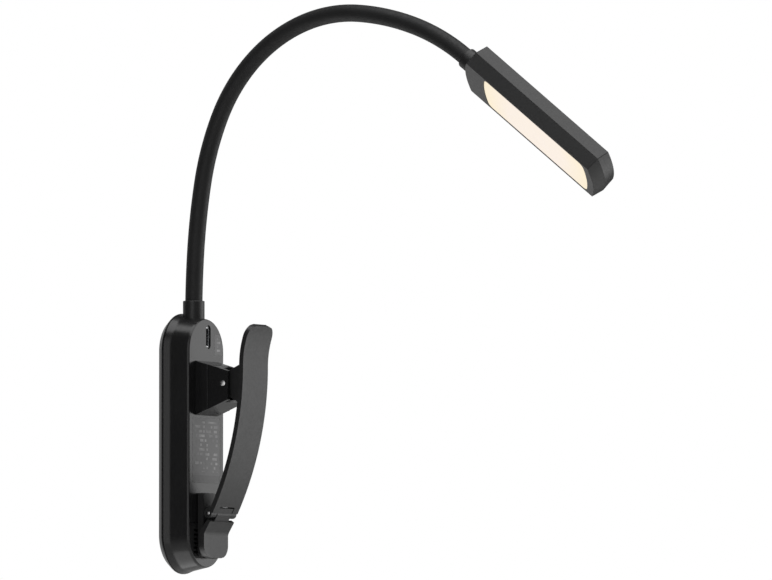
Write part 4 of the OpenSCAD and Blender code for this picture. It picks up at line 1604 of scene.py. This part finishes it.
def direction(azimuth: float, elevation: float) -> Vector:
    """Unit vector towards a point at that azimuth, from +X towards +Y, and elevation, in degrees."""
    a, e = math.radians(azimuth), math.radians(elevation)
    return Vector((math.cos(a) * math.cos(e), math.sin(a) * math.cos(e), math.sin(e)))


@dataclass(frozen=True)
class Softbox:
    """A soft light that faces the lamp, of a given brightness."""

    name: str
    azimuth: float
    elevation: float
    width: float
    height: float
    brightness: float
    away: float = 1.1

    def build(self, target: Vector) -> None:
        """Hangs the light. Its power is brightness x pi x area, so brightness is what a mirror would show.

        Args:
            target: what it faces.
        """
        data = bpy.data.lights.new(self.name, "AREA")
        data.shape, data.size, data.size_y = "RECTANGLE", self.width, self.height
        data.energy = self.brightness * math.pi * self.width * self.height
        obj = add_object(self.name, data)
        towards = direction(self.azimuth, self.elevation)
        obj.location = target + towards * self.away
        obj.rotation_mode = "QUATERNION"
        obj.rotation_quaternion = towards.to_track_quat("Z", "Y")
        obj.visible_camera = False


@dataclass
class Studio:
    """The camera, the pale floor and the soft lights."""

    azimuth: float = 121.4
    elevation: float = -3.0
    lens: float = 600.0
    sensor: float = 36.0
    frame_width: float = 0.3528
    aim_right: float = 0.0827
    aim_up: float = 0.1165
    aim_depth: float = 0.04
    fill: float = 0.06
    floor_drop: float = 0.45
    floor_size: float = 8.0
    boxes: tuple[Softbox, ...] = (
        Softbox("right_softbox", 138.0, 4.0, 1.1, 1.7, 1.75),
        Softbox("left_softbox", -112.0, 5.0, 1.6, 1.7, 0.45),
        Softbox("top_softbox", 60.0, 78.0, 1.3, 1.3, 2.3),
        Softbox("near_strip", 9.0, 5.0, 0.36, 1.5, 1.6),
        Softbox("low_softbox", -84.0, -60.0, 0.6, 0.6, 1.4, 0.6),
    )

    def camera(self) -> None:
        """Sets a long lens at the lamp's viewing angle, far enough off that the view hardly converges."""
        a, e = math.radians(self.azimuth), math.radians(self.elevation)
        back = Vector((math.sin(a) * math.cos(e), -math.cos(a) * math.cos(e), math.sin(e)))
        right = Vector((math.cos(a), math.sin(a), 0.0))
        up = back.cross(right)
        data = bpy.data.cameras.new("camera")
        data.lens, data.sensor_width = self.lens, self.sensor
        data.clip_start, data.clip_end = 0.1, 100.0
        obj = add_object("camera", data)
        away = self.frame_width * self.lens / self.sensor + self.aim_depth
        obj.location = right * self.aim_right + up * self.aim_up + back * away
        obj.rotation_mode = "QUATERNION"
        obj.rotation_quaternion = back.to_track_quat("Z", "Y")
        bpy.context.scene.camera = obj

    def floor(self) -> None:
        """Lays a plain pale floor below the lamp and the camera."""
        level, half = -self.floor_drop, self.floor_size / 2
        mesh = bpy.data.meshes.new("floor")
        corners = [(-half, -half, level), (half, -half, level), (half, half, level), (-half, half, level)]
        mesh.from_pydata(corners, [], [(0, 1, 2, 3)])
        material = bpy.data.materials.new("pale_floor")
        material.use_nodes = True
        w = Wiring(material.node_tree)
        place = w.add("ShaderNodeTexCoord").outputs["Object"]
        tone = w.mix(w.noise(place, 3.0), (0.78, 0.78, 0.77, 1.0), (0.82, 0.82, 0.81, 1.0))
        paint = w.add("ShaderNodeBsdfDiffuse", {"Color": tone})
        w.add("ShaderNodeOutputMaterial", {"Surface": paint.outputs[0]})
        mesh.materials.append(material)
        obj = add_object("floor", mesh)

    def world(self) -> None:
        """A white backdrop for the camera, and a faint even fill for everything else."""
        world = bpy.data.worlds.new("studio")
        bpy.context.scene.world = world
        world.use_nodes = True
        w = Wiring(world.node_tree)
        seen = w.add("ShaderNodeLightPath").outputs["Is Camera Ray"]
        strength = w.ramp(seen, 0.0, 1.0, self.fill, 1.0)
        sky = w.add("ShaderNodeBackground", {"Color": (1.0, 1.0, 1.0, 1.0), "Strength": strength})
        w.add("ShaderNodeOutputWorld", {"Surface": sky.outputs[0]})

    def lights(self) -> None:
        """Hangs the softboxes round the lamp's middle."""
        target = (CAD_BOX[0] + CAD_BOX[1]) / 2
        for softbox in self.boxes:
            softbox.build(target)

    def build(self) -> None:
        """Sets up the whole studio, and shows colours as they are."""
        self.floor()
        self.world()
        self.lights()
        bpy.context.scene.view_settings.view_transform = "Standard"


def main() -> None:
    """Builds the lamp in order, then the studio."""
    logging.basicConfig(level=logging.INFO, format="%(message)s")
    studio = Studio()
    studio.camera()
    shop = Workshop()
    for assembly in (Body(), Clip(), Gooseneck(), Head()):
        LOG.info("building %s", type(assembly).__name__)
        assembly.build(shop)
    studio.build()


if __name__ == "__main__":
    main()
